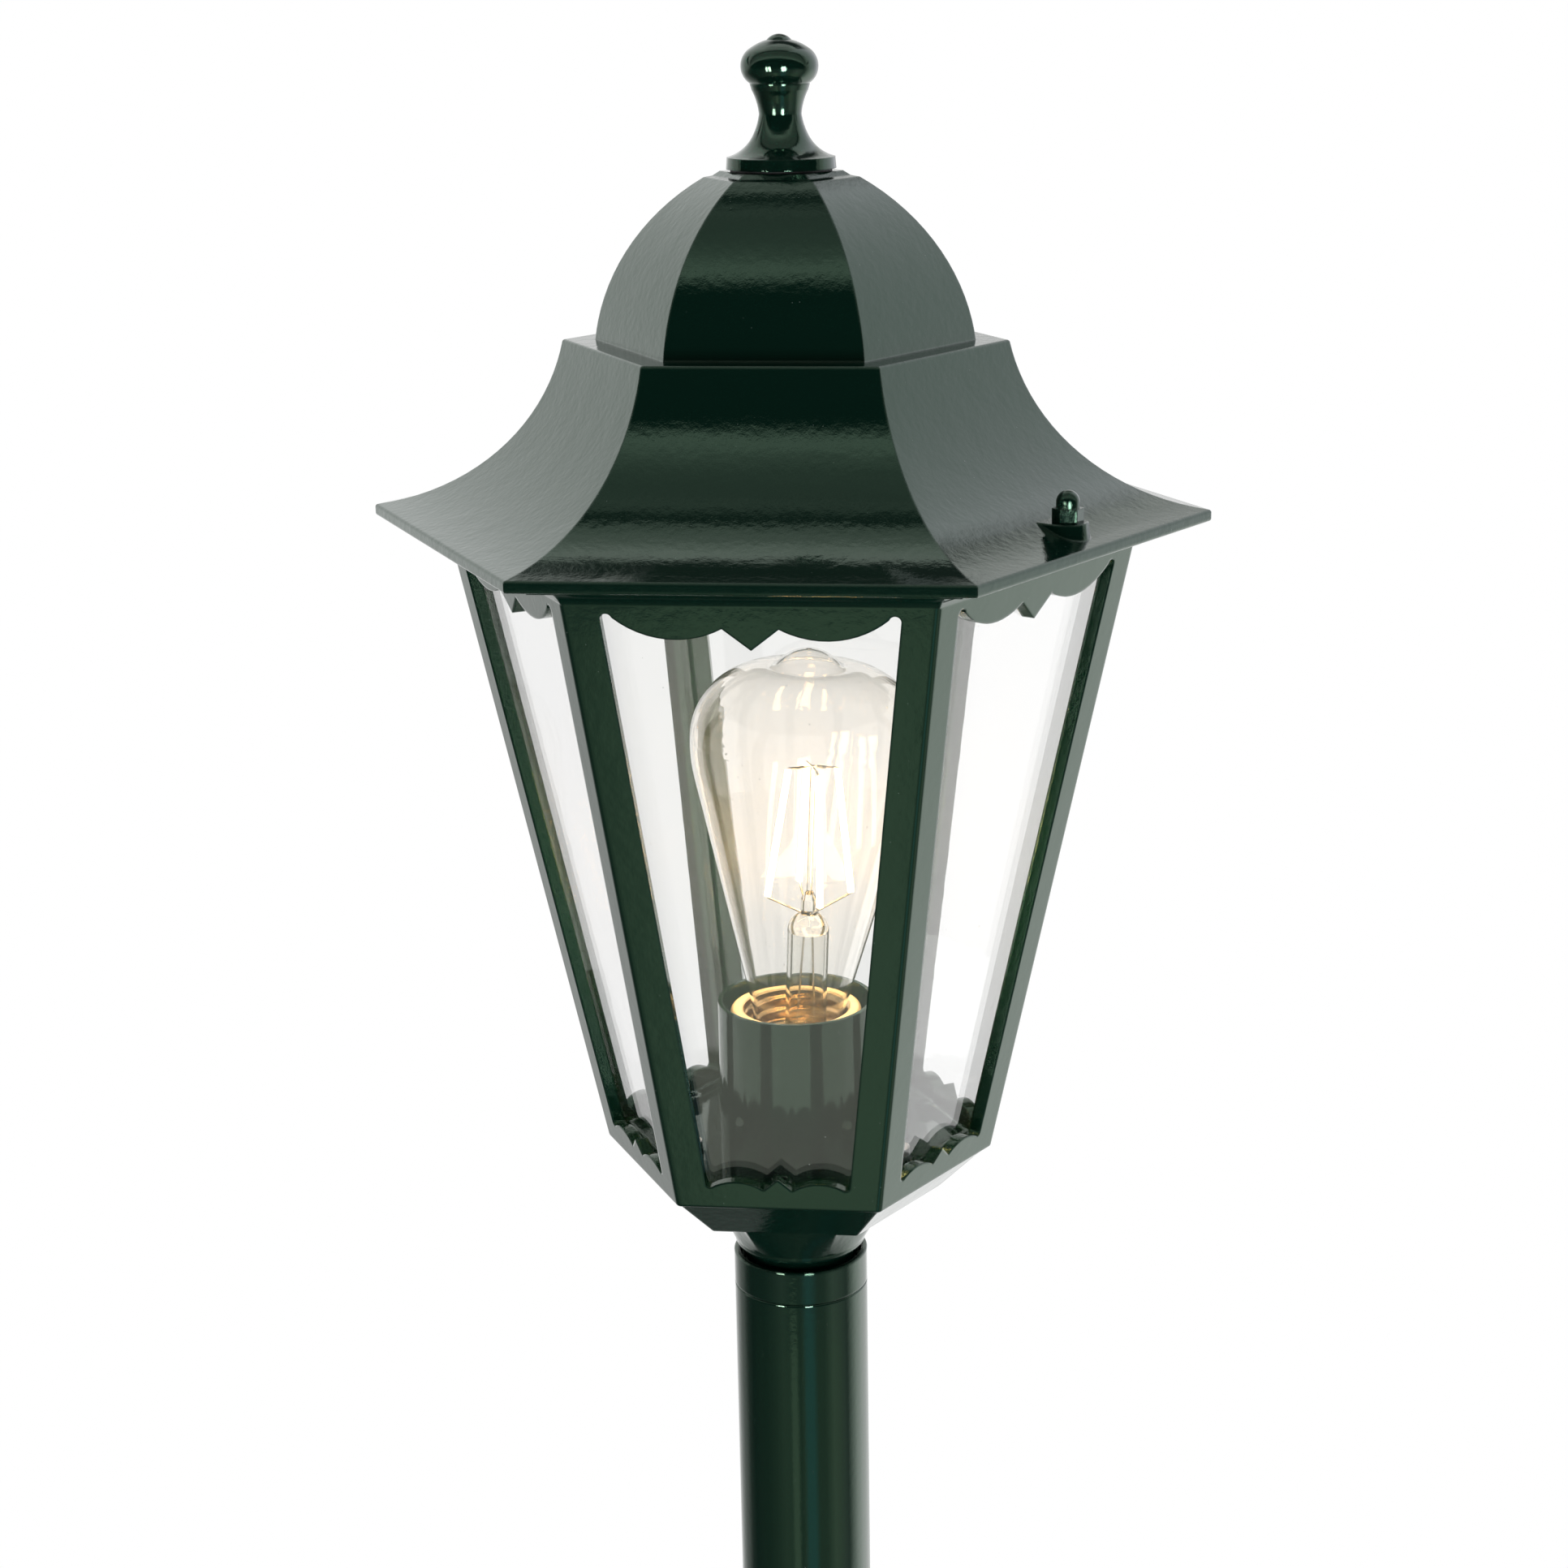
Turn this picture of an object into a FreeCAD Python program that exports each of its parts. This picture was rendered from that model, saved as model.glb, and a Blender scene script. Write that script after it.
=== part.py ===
"""Outdoor lamp post: a hexagonal glazed lantern on a round post.

Millimetres, +Z up. The origin is the centre of the foot's underside and the lantern's front
pane faces -Y. Every driving dimension is a cell of the sheet Sizes. PLACES names what follows
from those cells, and each feature is bound to both by expressions.
"""
import FreeCAD, Part
import math
import os
import re
import Sketcher

SIZES = {
    # foot and post
    "foot_radius": 82.0,
    "foot_edge_height": 6.0,
    "foot_slope_rise": 12.0,
    "foot_base_thickness": 8.0,
    "socket_height": 62.0,
    "socket_wall": 5.0,
    "socket_clearance": 0.15,
    "foot_edge_round": 2.0,
    "cable_hole_radius": 12.0,
    "fixing_circle_radius": 64.0,
    "fixing_hole_radius": 4.5,
    "grub_screw_radius": 3.0,
    "grub_screw_height": 44.0,
    "grub_screw_clearance": 0.1,
    "grub_screw_count": 3,
    "grub_screw_turn": 90.0,
    "post_radius": 19.25,
    "post_wall": 1.5,
    "post_length": 894.1,
    # coupler between post and lantern
    "coupler_ring_height": 9.9,
    "coupler_ring_wall": 1.7,
    "coupler_cup_depth": 7.4,
    "coupler_floor": 5.0,
    "coupler_spigot_length": 36.0,
    "coupler_spigot_wall": 2.2,
    "coupler_fit": 0.15,
    "coupler_edge_round": 0.5,
    # clamping nipple
    "nipple_radius": 5.0,
    "nipple_bore_radius": 4.0,
    "nipple_clearance": 0.2,
    "nipple_tail": 7.0,
    "nipple_grip": 10.0,
    "washer_thickness": 1.2,
    "washer_radius": 10.0,
    "locknut_height": 3.6,
    "locknut_flats": 14.0,
    # lantern base: bowl and neck
    "neck_radius": 15.6,
    "neck_wall": 3.2,
    "neck_round_height": 4.4,
    "neck_flare_radius": 19.0,
    "neck_flare_drop": 3.2,
    "neck_flare_bend": 3.6,
    "neck_top_corner": 29.2,
    "bowl_bottom_height": 19.2,
    "bowl_bottom_apothem": 34.2,
    "bowl_top_apothem": 46.6,
    "bowl_wall": 3.0,
    "bowl_round": 3.0,
    # lantern cage
    "cage_bottom_height": 32.66,
    "cage_height": 174.2,
    "cage_bottom_apothem": 47.76,
    "cage_top_apothem": 80.1,
    "cage_wall": 3.6,
    "cage_corner_round": 1.8,
    "cage_foot_round": 1.0,
    "cage_floor": 3.2,
    "cage_floor_hole": 19.5,
    "lip_gap": 3.4,
    "lip_wall": 1.6,
    "lip_height": 2.2,
    "lip_boss_turn": 30.0,
    "lip_boss_radius": 2.8,
    "lip_boss_height": 2.8,
    "lip_dimple_radius": 1.5,
    "lip_dimple_depth": 1.2,
    "cove_width": 6.1,
    "cove_rise": 4.7,
    "cove_radius": 9.0,
    "rim_width": 4.4,
    "rim_height": 1.6,
    # windows
    "window_bottom_half": 19.6,
    "window_top_half": 36.9,
    "window_bottom_up": 7.6,
    "window_top_drop": 3.9,
    "window_corner_radius": 1.5,
    "valance_start_half": 34.0,
    "valance_start_drop": 3.2,
    "valance_lobe_radius": 24.0,
    "valance_cusp_half": 7.0,
    "valance_cusp_drop": 5.9,
    "valance_point_drop": 11.5,
    "sill_start_half": 18.3,
    "sill_start_up": 6.6,
    "sill_lobe_radius": 12.6,
    "sill_cusp_half": 3.9,
    "sill_cusp_up": 6.2,
    "sill_point_up": 9.7,
    # base screws in the lantern floor
    "base_screw_circle": 33.0,
    "base_screw_radius": 2.0,
    "base_screw_clearance": 0.25,
    "base_screw_count": 3,
    "base_screw_turn": 90.0,
    "base_screw_spare": 1.0,
    "base_screw_head_radius": 3.4,
    "base_screw_head_height": 2.2,
    "base_screw_length": 12.0,
    "base_boss_radius": 3.6,
    "floor_boss_height": 1.6,
    # panes
    "pane_thickness": 2.5,
    "pane_clearance": 0.2,
    "pane_side_gap": 0.8,
    "pane_top_gap": 6.0,
    # lampholder and its cup
    "cup_radius": 22.0,
    "cup_wall": 1.2,
    "cup_height": 41.0,
    "cup_flange": 1.5,
    "holder_radius": 18.5,
    "holder_height": 52.4,
    "holder_wall": 3.9,
    "holder_floor": 14.0,
    "holder_top_round": 1.4,
    "shell_thickness": 0.5,
    "shell_height": 26.0,
    "shell_fit": 0.1,
    "contact_radius": 5.0,
    "contact_height": 2.0,
    # bulb, in its own frame with the solder tip at 0
    "bulb_contact_gap": 0.45,
    "bulb_lean": 2.5,
    "bulb_cap_radius": 13.1,
    "bulb_cap_wall": 0.45,
    "bulb_cap_bottom": 5.2,
    "bulb_cap_top": 27.0,
    "bulb_tip_height": 2.0,
    "bulb_tip_radius": 4.6,
    "bulb_insulator_radius": 11.2,
    "bulb_glass_wall": 0.7,
    "bulb_glass_bottom": 20.0,
    "bulb_neck_fit": 0.15,
    "bulb_flare_height": 36.0,
    "bulb_flare_radius": 13.2,
    "bulb_flank_drop": 10.9,
    "bulb_flank_inset": 1.34,
    "bulb_side_bend": 45.0,
    "bulb_crown_drop": 25.4,
    "bulb_radius": 32.0,
    "bulb_crown_bend": 20.46,
    "bulb_nub_rise": 5.1,
    "bulb_shoulder_radius": 9.2,
    "bulb_shoulder_round": 4.5,
    "bulb_length": 139.4,
    "stem_radius": 5.8,
    "stem_wall": 0.9,
    "stem_offset": 2.0,
    "stem_foot_height": 22.0,
    "stem_foot_thickness": 1.2,
    "stem_shoulder_height": 58.5,
    "stem_pinch_rise": 5.5,
    "stem_pinch_radius": 2.3,
    "stem_pinch_length": 4.0,
    "stem_rod_radius": 0.9,
    "stem_rod_length": 38.4,
    "filament_count": 4,
    "filament_turn": 20.0,
    "filament_radius": 0.95,
    "filament_low_circle": 12.0,
    "filament_low_rise": 1.5,
    "filament_high_circle": 7.0,
    "filament_high_drop": 1.2,
    "wire_radius": 0.3,
    "wire_gap": 0.1,
    # roof
    "eave_apothem": 97.5,
    "eave_thickness": 3.05,
    "roof_cavity_apothem": 77.6,
    "roof_wall": 2.8,
    "flare_rise": 44.5,
    "flare_radius": 55.95,
    "ledge_apothem": 51.2,
    "dome_apothem": 43.6,
    "dome_rise": 41.7,
    "dome_radius": 57.8,
    "crown_apothem": 17.6,
    "crown_plate": 3.6,
    "pad_foot_apothem": 15.6,
    "pad_top_apothem": 13.9,
    "pad_step": 0.4,
    "pad_rise": 1.2,
    "roof_edge_round": 0.8,
    # roof studs and cap nuts
    "stud_circle": 87.6,
    "stud_turn": -30.0,
    "stud_radius": 2.0,
    "stud_hole_clearance": 0.4,
    "stud_reach": 5.2,
    "boss_radius": 6.2,
    "boss_rise": 8.1,
    "boss_tail": 9.0,
    "boss_draft": 7.0,
    "nut_flats": 7.0,
    "nut_hex_height": 3.5,
    "nut_dome_radius": 3.0,
    "nut_height": 8.0,
    "nut_running_fit": 0.06,
    "nut_bore_depth": 6.0,
    "nut_turn": 6.0,
    # finial
    "seal_thickness": 0.6,
    "seal_radius": 13.2,
    "finial_flange_radius": 14.3,
    "finial_flange_height": 2.9,
    "finial_flange_draft": 0.25,
    "finial_skirt_radius": 7.0,
    "finial_skirt_height": 8.7,
    "finial_skirt_bend": 10.5,
    "finial_neck_radius": 5.5,
    "finial_neck_height": 13.6,
    "finial_neck_bend": 16.0,
    "finial_throat_radius": 7.3,
    "finial_throat_height": 19.6,
    "finial_bead_radius": 7.7,
    "finial_bead_height": 20.9,
    "finial_ball_radius": 10.0,
    "finial_ball_height": 25.5,
    "finial_ball_bend": 5.2,
    "finial_shoulder_radius": 7.4,
    "finial_crown_bend": 13.0,
    "finial_tip_radius": 3.2,
    "finial_tip_height": 31.9,
    "finial_height": 33.4,
    "finial_stud_radius": 3.0,
    "finial_stud_length": 12.0,
    "finial_stud_clearance": 0.3,
    "finial_nut_flats": 10.0,
    "finial_nut_height": 5.0,
}

PLACES = {
    "cos30": "sqrt(3) / 2",
    "tan30": "1 / sqrt(3)",
    # post and coupler
    "post_bottom": "foot_base_thickness",
    "post_top": "post_bottom + post_length",
    "post_bore": "post_radius - post_wall",
    "socket_bore": "post_radius + socket_clearance",
    "socket_radius": "socket_bore + socket_wall",
    "collar_top": "post_top + coupler_ring_height",
    "coupler_bore": "post_radius - coupler_ring_wall",
    "coupler_seat": "collar_top - coupler_cup_depth",
    "coupler_under": "coupler_seat - coupler_floor",
    "spigot_radius": "post_bore - coupler_fit",
    "nipple_hole": "nipple_radius + nipple_clearance",
    # lantern base
    "bowl_bottom": "collar_top + bowl_bottom_height",
    "bowl_floor": "bowl_bottom + bowl_wall",
    "neck_round": "collar_top + neck_round_height",
    "neck_bore": "neck_radius - neck_wall",
    "cage_bottom": "collar_top + cage_bottom_height",
    # cage
    "cage_top": "cage_bottom + cage_height",
    "cage_slope": "(cage_top_apothem - cage_bottom_apothem) / cage_height",
    "cage_floor_top": "cage_bottom + cage_floor",
    "cage_inner_low": "cage_bottom_apothem + cage_slope * cage_floor - cage_wall",
    "cage_inner_high": "cage_top_apothem + cage_slope * (rim_top - cage_top) - cage_wall",
    "rim_under": "cage_top + cove_rise",
    "rim_top": "rim_under + rim_height",
    "rim_apothem": "cage_top_apothem + cove_width + rim_width",
    "lip_outer": "cage_inner_low - lip_gap",
    # panes
    "pane_lean": "sqrt(1 + cage_slope ^ 2)",
    "pane_low": "cage_inner_low - pane_clearance * pane_lean",
    "pane_height": "(rim_top - cage_floor_top) * pane_lean - pane_top_gap",
    "pane_inset": "pane_thickness * pane_lean * tan30 + pane_side_gap",
    "pane_low_half": "pane_low * tan30 - pane_inset",
    "pane_high_half": "(pane_low + pane_height * cage_slope / pane_lean) * tan30 - pane_inset",
    # lampholder
    "holder_bottom": "bowl_floor",
    "holder_top": "holder_bottom + holder_height",
    "holder_bore": "holder_radius - holder_wall",
    "holder_seat": "holder_bottom + holder_floor",
    "shell_radius": "holder_bore - shell_fit",
    "bulb_tip": "holder_seat + contact_height + bulb_contact_gap",
    "bulb_pivot": "(bulb_cap_bottom + bulb_cap_top) / 2",
    "bulb_neck_radius": "bulb_cap_radius - bulb_cap_wall - bulb_neck_fit",
    "bulb_shoulder_height": "bulb_length - bulb_nub_rise",
    "bulb_widest_height": "bulb_length - bulb_crown_drop",
    "bulb_flank_height": "bulb_widest_height - bulb_flank_drop",
    "bulb_flank_radius": "bulb_radius - bulb_flank_inset",
    "bulb_nub_bend": "(bulb_shoulder_radius ^ 2 + bulb_nub_rise ^ 2) / (2 * bulb_nub_rise)",
    "bulb_nub_inside": "bulb_shoulder_radius - bulb_glass_wall / 2",
    "bulb_shoulder_inside": "bulb_shoulder_height - bulb_glass_wall",
    "bulb_nub_bend_inside": "(bulb_nub_inside ^ 2 + bulb_nub_rise ^ 2) / (2 * bulb_nub_rise)",
    "stem_foot_radius": "bulb_neck_radius - bulb_glass_wall - bulb_neck_fit - stem_offset",
    "stem_pinch_height": "stem_shoulder_height + stem_pinch_rise",
    "stem_pinch_top": "stem_pinch_height + stem_pinch_length",
    "stem_rod_top": "stem_pinch_top + stem_rod_length",
    "filament_low_height": "stem_pinch_top + filament_low_rise",
    "filament_high_height": "stem_rod_top - filament_high_drop",
    # roof: the flare's and the dome's arc centres at the middle of a side
    "eave_bottom": "rim_top",
    "eave_top": "eave_bottom + eave_thickness",
    "ledge": "eave_top + flare_rise",
    "ledge_under": "ledge - roof_wall",
    "crown": "ledge + dome_rise",
    "crown_under": "pad_top - crown_plate",
    "pad_foot": "crown + pad_step",
    "pad_top": "pad_foot + pad_rise",
    "flare_run": "eave_apothem - ledge_apothem",
    "flare_chord": "sqrt(flare_run ^ 2 + flare_rise ^ 2)",
    "flare_offset": "sqrt(flare_radius ^ 2 - flare_chord ^ 2 / 4)",
    "flare_centre_out": "(eave_apothem + ledge_apothem) / 2 + flare_rise / flare_chord * flare_offset",
    "flare_centre_up": "(eave_top + ledge) / 2 + flare_run / flare_chord * flare_offset",
    "flare_inside": "flare_radius + roof_wall",
    "cavity_run": "flare_centre_out - roof_cavity_apothem",
    "cavity_shoulder": "flare_centre_up - sqrt(flare_inside ^ 2 - cavity_run ^ 2)",
    "cavity_ledge": "flare_centre_out - sqrt(flare_inside ^ 2 - (flare_centre_up - ledge_under) ^ 2)",
    "dome_run": "dome_apothem - crown_apothem",
    "dome_chord": "sqrt(dome_run ^ 2 + dome_rise ^ 2)",
    "dome_offset": "sqrt(dome_radius ^ 2 - dome_chord ^ 2 / 4)",
    "dome_centre_out": "(dome_apothem + crown_apothem) / 2 - dome_rise / dome_chord * dome_offset",
    "dome_centre_up": "(ledge + crown) / 2 - dome_run / dome_chord * dome_offset",
    "dome_inside": "dome_radius - roof_wall",
    "cavity_dome": "dome_centre_out + sqrt(dome_inside ^ 2 - (ledge_under - dome_centre_up) ^ 2)",
    "cavity_crown": "dome_centre_out + sqrt(dome_inside ^ 2 - (crown_under - dome_centre_up) ^ 2)",
    "crown_hole": "finial_stud_radius + finial_stud_clearance",
    "boss_top": "eave_bottom + boss_rise",
    "finial_bottom": "pad_top + seal_thickness",
    "ball_core": "finial_ball_radius - finial_ball_bend",
    "ball_foot": "sqrt(finial_ball_bend ^ 2 - (finial_bead_radius - ball_core) ^ 2)",
    "ball_shoulder": "sqrt(finial_ball_bend ^ 2 - (finial_shoulder_radius - ball_core) ^ 2)",
    "finial_tip_rise": "finial_height - finial_tip_height",
    "finial_tip_bend": "(finial_tip_radius ^ 2 + finial_tip_rise ^ 2) / (2 * finial_tip_rise)",
}

LEFT = 1
RIGHT = -1
HEXAGON = 6

doc = FreeCAD.newDocument("lamp_post")
sheet = doc.addObject("Spreadsheet::Sheet", "Sizes")
for row, (alias, size) in enumerate(SIZES.items(), start=1):
    sheet.set(f"A{row}", alias)
    sheet.set(f"B{row}", str(size))
    sheet.setAlias(f"B{row}", alias)
doc.recompute()

nodes = []


def expand(text):
    """Write the named places and sheet cells of a formula out as one expression."""
    def name(match):
        word = match.group(0)
        if word in PLACES:
            return f"({expand(PLACES[word])})"
        if word in SIZES:
            return f"Sizes.{word}"
        return word
    return re.sub(r"[A-Za-z_]\w*", name, str(text))


def value(text):
    """Give a formula's present value as a plain number."""
    result = sheet.evalExpression(expand(text))
    return float(getattr(result, "Value", result))


def bind(thing, prop, text):
    """Tie one property to a formula."""
    thing.setExpression(prop, expand(text))


def keep(thing, label):
    """Take a finished sub-part into the list that is written out."""
    thing.Label = label
    nodes.append(thing)
    return thing


def new_body(name):
    return doc.addObject("PartDesign::Body", name)


def origin_part(body, role):
    """Find one of a body's own origin planes or axes."""
    for feature in body.Origin.OriginFeatures:
        if feature.Role == role:
            return feature
    raise ValueError(role)


def new_sketch(body, name, plane, lift="0", turn="0"):
    """Make a sketch on an origin plane, lifted along the plane's normal and turned in it."""
    sketch = body.newObject("Sketcher::SketchObject", name)
    sketch.AttachmentSupport = (origin_part(body, plane), [""])
    sketch.MapMode = "FlatFace"
    turned = FreeCAD.Rotation(FreeCAD.Vector(0, 0, 1), value(turn))
    sketch.AttachmentOffset = FreeCAD.Placement(FreeCAD.Vector(0, 0, value(lift)), turned)
    bind(sketch, "AttachmentOffset.Base.z", lift)
    return sketch


def arc_between(start, end, radius, side):
    """Arc from start to end whose centre lies on the given side of the way."""
    middle = (start + end) * 0.5
    way = end - start
    reach = math.sqrt(max(radius ** 2 - (way.Length / 2) ** 2, 0))
    normal = FreeCAD.Vector(-way.y, way.x, 0).normalize()
    centre = middle + normal * (reach * side)
    crest = centre - normal * (radius * side)
    return Part.Arc(start, crest, end)


def outline(sketch, corners):
    """Draw a closed outline whose corners are (across, up) or (across, up, arc radius, side).

    A corner with a radius starts an arc, and one without starts a straight side.
    """
    points = [FreeCAD.Vector(value(corner[0]), value(corner[1]), 0) for corner in corners]
    count = len(corners)
    first = sketch.GeometryCount
    ends = []
    for index, corner in enumerate(corners):
        start = points[index]
        end = points[(index + 1) % count]
        if len(corner) == 2:
            sketch.addGeometry(Part.LineSegment(start, end), False)
            ends.append((1, 2))
        else:
            sketch.addGeometry(arc_between(start, end, value(corner[2]), corner[3]), False)
            ends.append((1, 2) if corner[3] == LEFT else (2, 1))
    for index, corner in enumerate(corners):
        after = (index + 1) % count
        here = first + index
        joint = Sketcher.Constraint("Coincident", here, ends[index][1], first + after, ends[after][0])
        sketch.addConstraint(joint)
        for kind, formula in (("DistanceX", corner[0]), ("DistanceY", corner[1])):
            place = Sketcher.Constraint(kind, -1, 1, here, ends[index][0], value(formula))
            bind(sketch, f"Constraints[{sketch.addConstraint(place)}]", formula)
        if len(corner) == 4:
            bend = Sketcher.Constraint("Radius", here, value(corner[2]))
            bind(sketch, f"Constraints[{sketch.addConstraint(bend)}]", corner[2])
    return sketch


def circle(sketch, across, up, radius):
    """Draw a circle bound in place and radius."""
    centre = FreeCAD.Vector(value(across), value(up), 0)
    ring = sketch.addGeometry(Part.Circle(centre, FreeCAD.Vector(0, 0, 1), value(radius)), False)
    for kind, formula in (("DistanceX", across), ("DistanceY", up)):
        place = Sketcher.Constraint(kind, -1, 1, ring, 3, value(formula))
        bind(sketch, f"Constraints[{sketch.addConstraint(place)}]", formula)
    size = Sketcher.Constraint("Radius", ring, value(radius))
    bind(sketch, f"Constraints[{sketch.addConstraint(size)}]", radius)
    return sketch


def hexagon_corners(apothem):
    """Corners of a hexagon with a flat side towards -Y, as formulas."""
    full = f"({apothem}) / cos30"
    half = f"({apothem}) * tan30"
    return [
        (full, "0"),
        (half, f"{apothem}"),
        (f"-({half})", f"{apothem}"),
        (f"-({full})", "0"),
        (f"-({half})", f"-({apothem})"),
        (half, f"-({apothem})"),
    ]


def hexagon_path(body, name, apothem):
    """Hexagonal path that starts at the middle of the rear side."""
    corners = hexagon_corners(apothem)
    return outline(new_sketch(body, name, "XY_Plane"), [("0", apothem)] + corners[2:] + corners[:2])


def hexagon_sweep(body, name, section, path_apothem):
    """Sweep a section round a hexagon with mitred corners."""
    path = hexagon_path(body, f"{name}_path", path_apothem)
    profile = outline(new_sketch(body, f"{name}_section", "YZ_Plane"), section)
    doc.recompute()
    sweep = body.newObject("PartDesign::AdditivePipe", name)
    sweep.Profile = profile
    sweep.Spine = (path, [f"Edge{number}" for number in range(1, HEXAGON + 2)])
    sweep.Transition = "Right corner"
    doc.recompute()
    return sweep


def revolve(body, name, corners):
    """Turn an outline, given as radius and height, about the body's Z axis."""
    profile = outline(new_sketch(body, f"{name}_profile", "XZ_Plane"), corners)
    turned = body.newObject("PartDesign::Revolution", name)
    turned.Profile = profile
    turned.ReferenceAxis = (profile, ["V_Axis"])
    turned.Angle = 360
    doc.recompute()
    return turned


def turned_part(label, corners):
    """Sub-part that is one turned solid."""
    body = new_body(label)
    revolve(body, f"{label}_turned", corners)
    return keep(body, label)


def pad(body, name, sketch, length):
    """Raise a sketch along its normal."""
    raised = body.newObject("PartDesign::Pad", name)
    raised.Profile = sketch
    bind(raised, "Length", length)
    doc.recompute()
    return raised


def pocket(body, name, sketch, length, reverse=False):
    """Cut a sketch into the body and make sure that it took material away."""
    before = body.Shape.Volume
    cut = body.newObject("PartDesign::Pocket", name)
    cut.Profile = sketch
    cut.Reversed = reverse
    bind(cut, "Length", length)
    doc.recompute()
    if body.Shape.Volume > before - 1e-3:
        raise RuntimeError(f"{name} cut nothing")
    return cut


def round_pattern(body, name, features, count):
    """Repeat features evenly round the Z axis."""
    pattern = body.newObject("PartDesign::PolarPattern", name)
    pattern.Originals = features
    pattern.Axis = (origin_part(body, "Z_Axis"), [""])
    pattern.Angle = 360
    pattern.Occurrences = count
    body.Tip = pattern
    doc.recompute()
    return pattern


def edges_where(shape, test):
    """Name the edges of a shape that pass a test."""
    return [f"Edge{number}" for number, edge in enumerate(shape.Edges, start=1) if test(edge)]


def fillet(body, name, test, radius):
    """Round the edges of a body's tip that pass a test."""
    tip = body.Tip
    names = edges_where(tip.Shape, test)
    if not names:
        raise RuntimeError(f"{name} found no edges")
    rounded = body.newObject("PartDesign::Fillet", name)
    rounded.Base = (tip, names)
    bind(rounded, "Radius", radius)
    doc.recompute()
    return rounded


def near(number, formula, slack=0.01):
    return abs(number - value(formula)) < slack


def ends_of(edge):
    return [vertex.Point for vertex in edge.Vertexes]


def reach_of(point):
    """Distance of a point from the Z axis."""
    return math.hypot(point.x, point.y)


def level_at(edge, height):
    """Whether an edge lies flat at a height."""
    return all(near(point.z, height) for point in ends_of(edge))


def placed(angle, radius="0", height="0"):
    """Placement turned about Z and moved out along the turned X axis."""
    turn = FreeCAD.Rotation(FreeCAD.Vector(0, 0, 1), angle)
    out = turn.multVec(FreeCAD.Vector(value(radius), 0, 0))
    return FreeCAD.Placement(out + FreeCAD.Vector(0, 0, value(height)), turn)


def spread(count, turn):
    """Angles evenly spread round the axis, from the first one's turn."""
    number_of = int(value(count))
    return [value(turn) + 360.0 / number_of * number for number in range(number_of)]


def copies(label, make, placements):
    """Group of like solids in one node."""
    parts = []
    for number, placement in enumerate(placements, start=1):
        solid = make(f"{label}_{number}")
        solid.Placement = placement
        parts.append(solid)
    group = doc.addObject("Part::Compound", label)
    group.Links = parts
    doc.recompute()
    return keep(group, label)


# foot
foot = new_body("foot")
revolve(foot, "foot_turned", [
    ("cable_hole_radius", "0"),
    ("foot_radius", "0"),
    ("foot_radius", "foot_edge_height"),
    ("socket_radius", "foot_edge_height + foot_slope_rise"),
    ("socket_radius", "socket_height"),
    ("socket_bore", "socket_height"),
    ("socket_bore", "foot_base_thickness"),
    ("cable_hole_radius", "foot_base_thickness"),
])
fixing_hole = new_sketch(foot, "fixing_hole", "XY_Plane")
circle(fixing_hole, "0", "fixing_circle_radius", "fixing_hole_radius")
fixing_cut = pocket(foot, "fixing_cut", fixing_hole, "foot_edge_height + foot_slope_rise", reverse=True)
round_pattern(foot, "fixing_cuts", [fixing_cut], 3)
grub_hole = circle(new_sketch(foot, "grub_hole", "XZ_Plane"), "0", "grub_screw_height", "grub_screw_radius")
grub_cut = pocket(foot, "grub_cut", grub_hole, "socket_radius + socket_wall")
round_pattern(foot, "grub_cuts", [grub_cut], 3)
fillet(foot, "foot_rounds", lambda edge: any(
    level_at(edge, height) and near(reach_of(ends_of(edge)[0]), radius)
    for radius, height in (("foot_radius", "foot_edge_height"), ("socket_radius", "socket_height"))
), "foot_edge_round")
keep(foot, "foot")


def grub_screw(name):
    screw = doc.addObject("Part::Cylinder", name)
    bind(screw, "Radius", "grub_screw_radius - grub_screw_clearance")
    bind(screw, "Height", "socket_wall")
    return screw


lying = FreeCAD.Placement(FreeCAD.Vector(), FreeCAD.Rotation(FreeCAD.Vector(0, 1, 0), 90))
copies("foot_grub_screws", grub_screw, [
    placed(angle, "socket_bore", "grub_screw_height").multiply(lying)
    for angle in spread("grub_screw_count", "grub_screw_turn")
])

# post
turned_part("post_tube", [
    ("post_bore", "post_bottom"),
    ("post_radius", "post_bottom"),
    ("post_radius", "post_top"),
    ("post_bore", "post_top"),
])

# coupler: ring on the post's end, cup for the lantern's neck, spigot in the post
coupler = new_body("post_coupler")
revolve(coupler, "coupler_turned", [
    ("nipple_hole", "coupler_seat"),
    ("coupler_bore", "coupler_seat"),
    ("coupler_bore", "collar_top"),
    ("post_radius", "collar_top"),
    ("post_radius", "post_top"),
    ("spigot_radius", "post_top"),
    ("spigot_radius", "post_top - coupler_spigot_length"),
    ("spigot_radius - coupler_spigot_wall", "post_top - coupler_spigot_length"),
    ("spigot_radius - coupler_spigot_wall", "coupler_under"),
    ("nipple_hole", "coupler_under"),
])
fillet(coupler, "coupler_rounds", lambda edge: level_at(edge, "collar_top"), "coupler_edge_round")
keep(coupler, "post_coupler")

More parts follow.
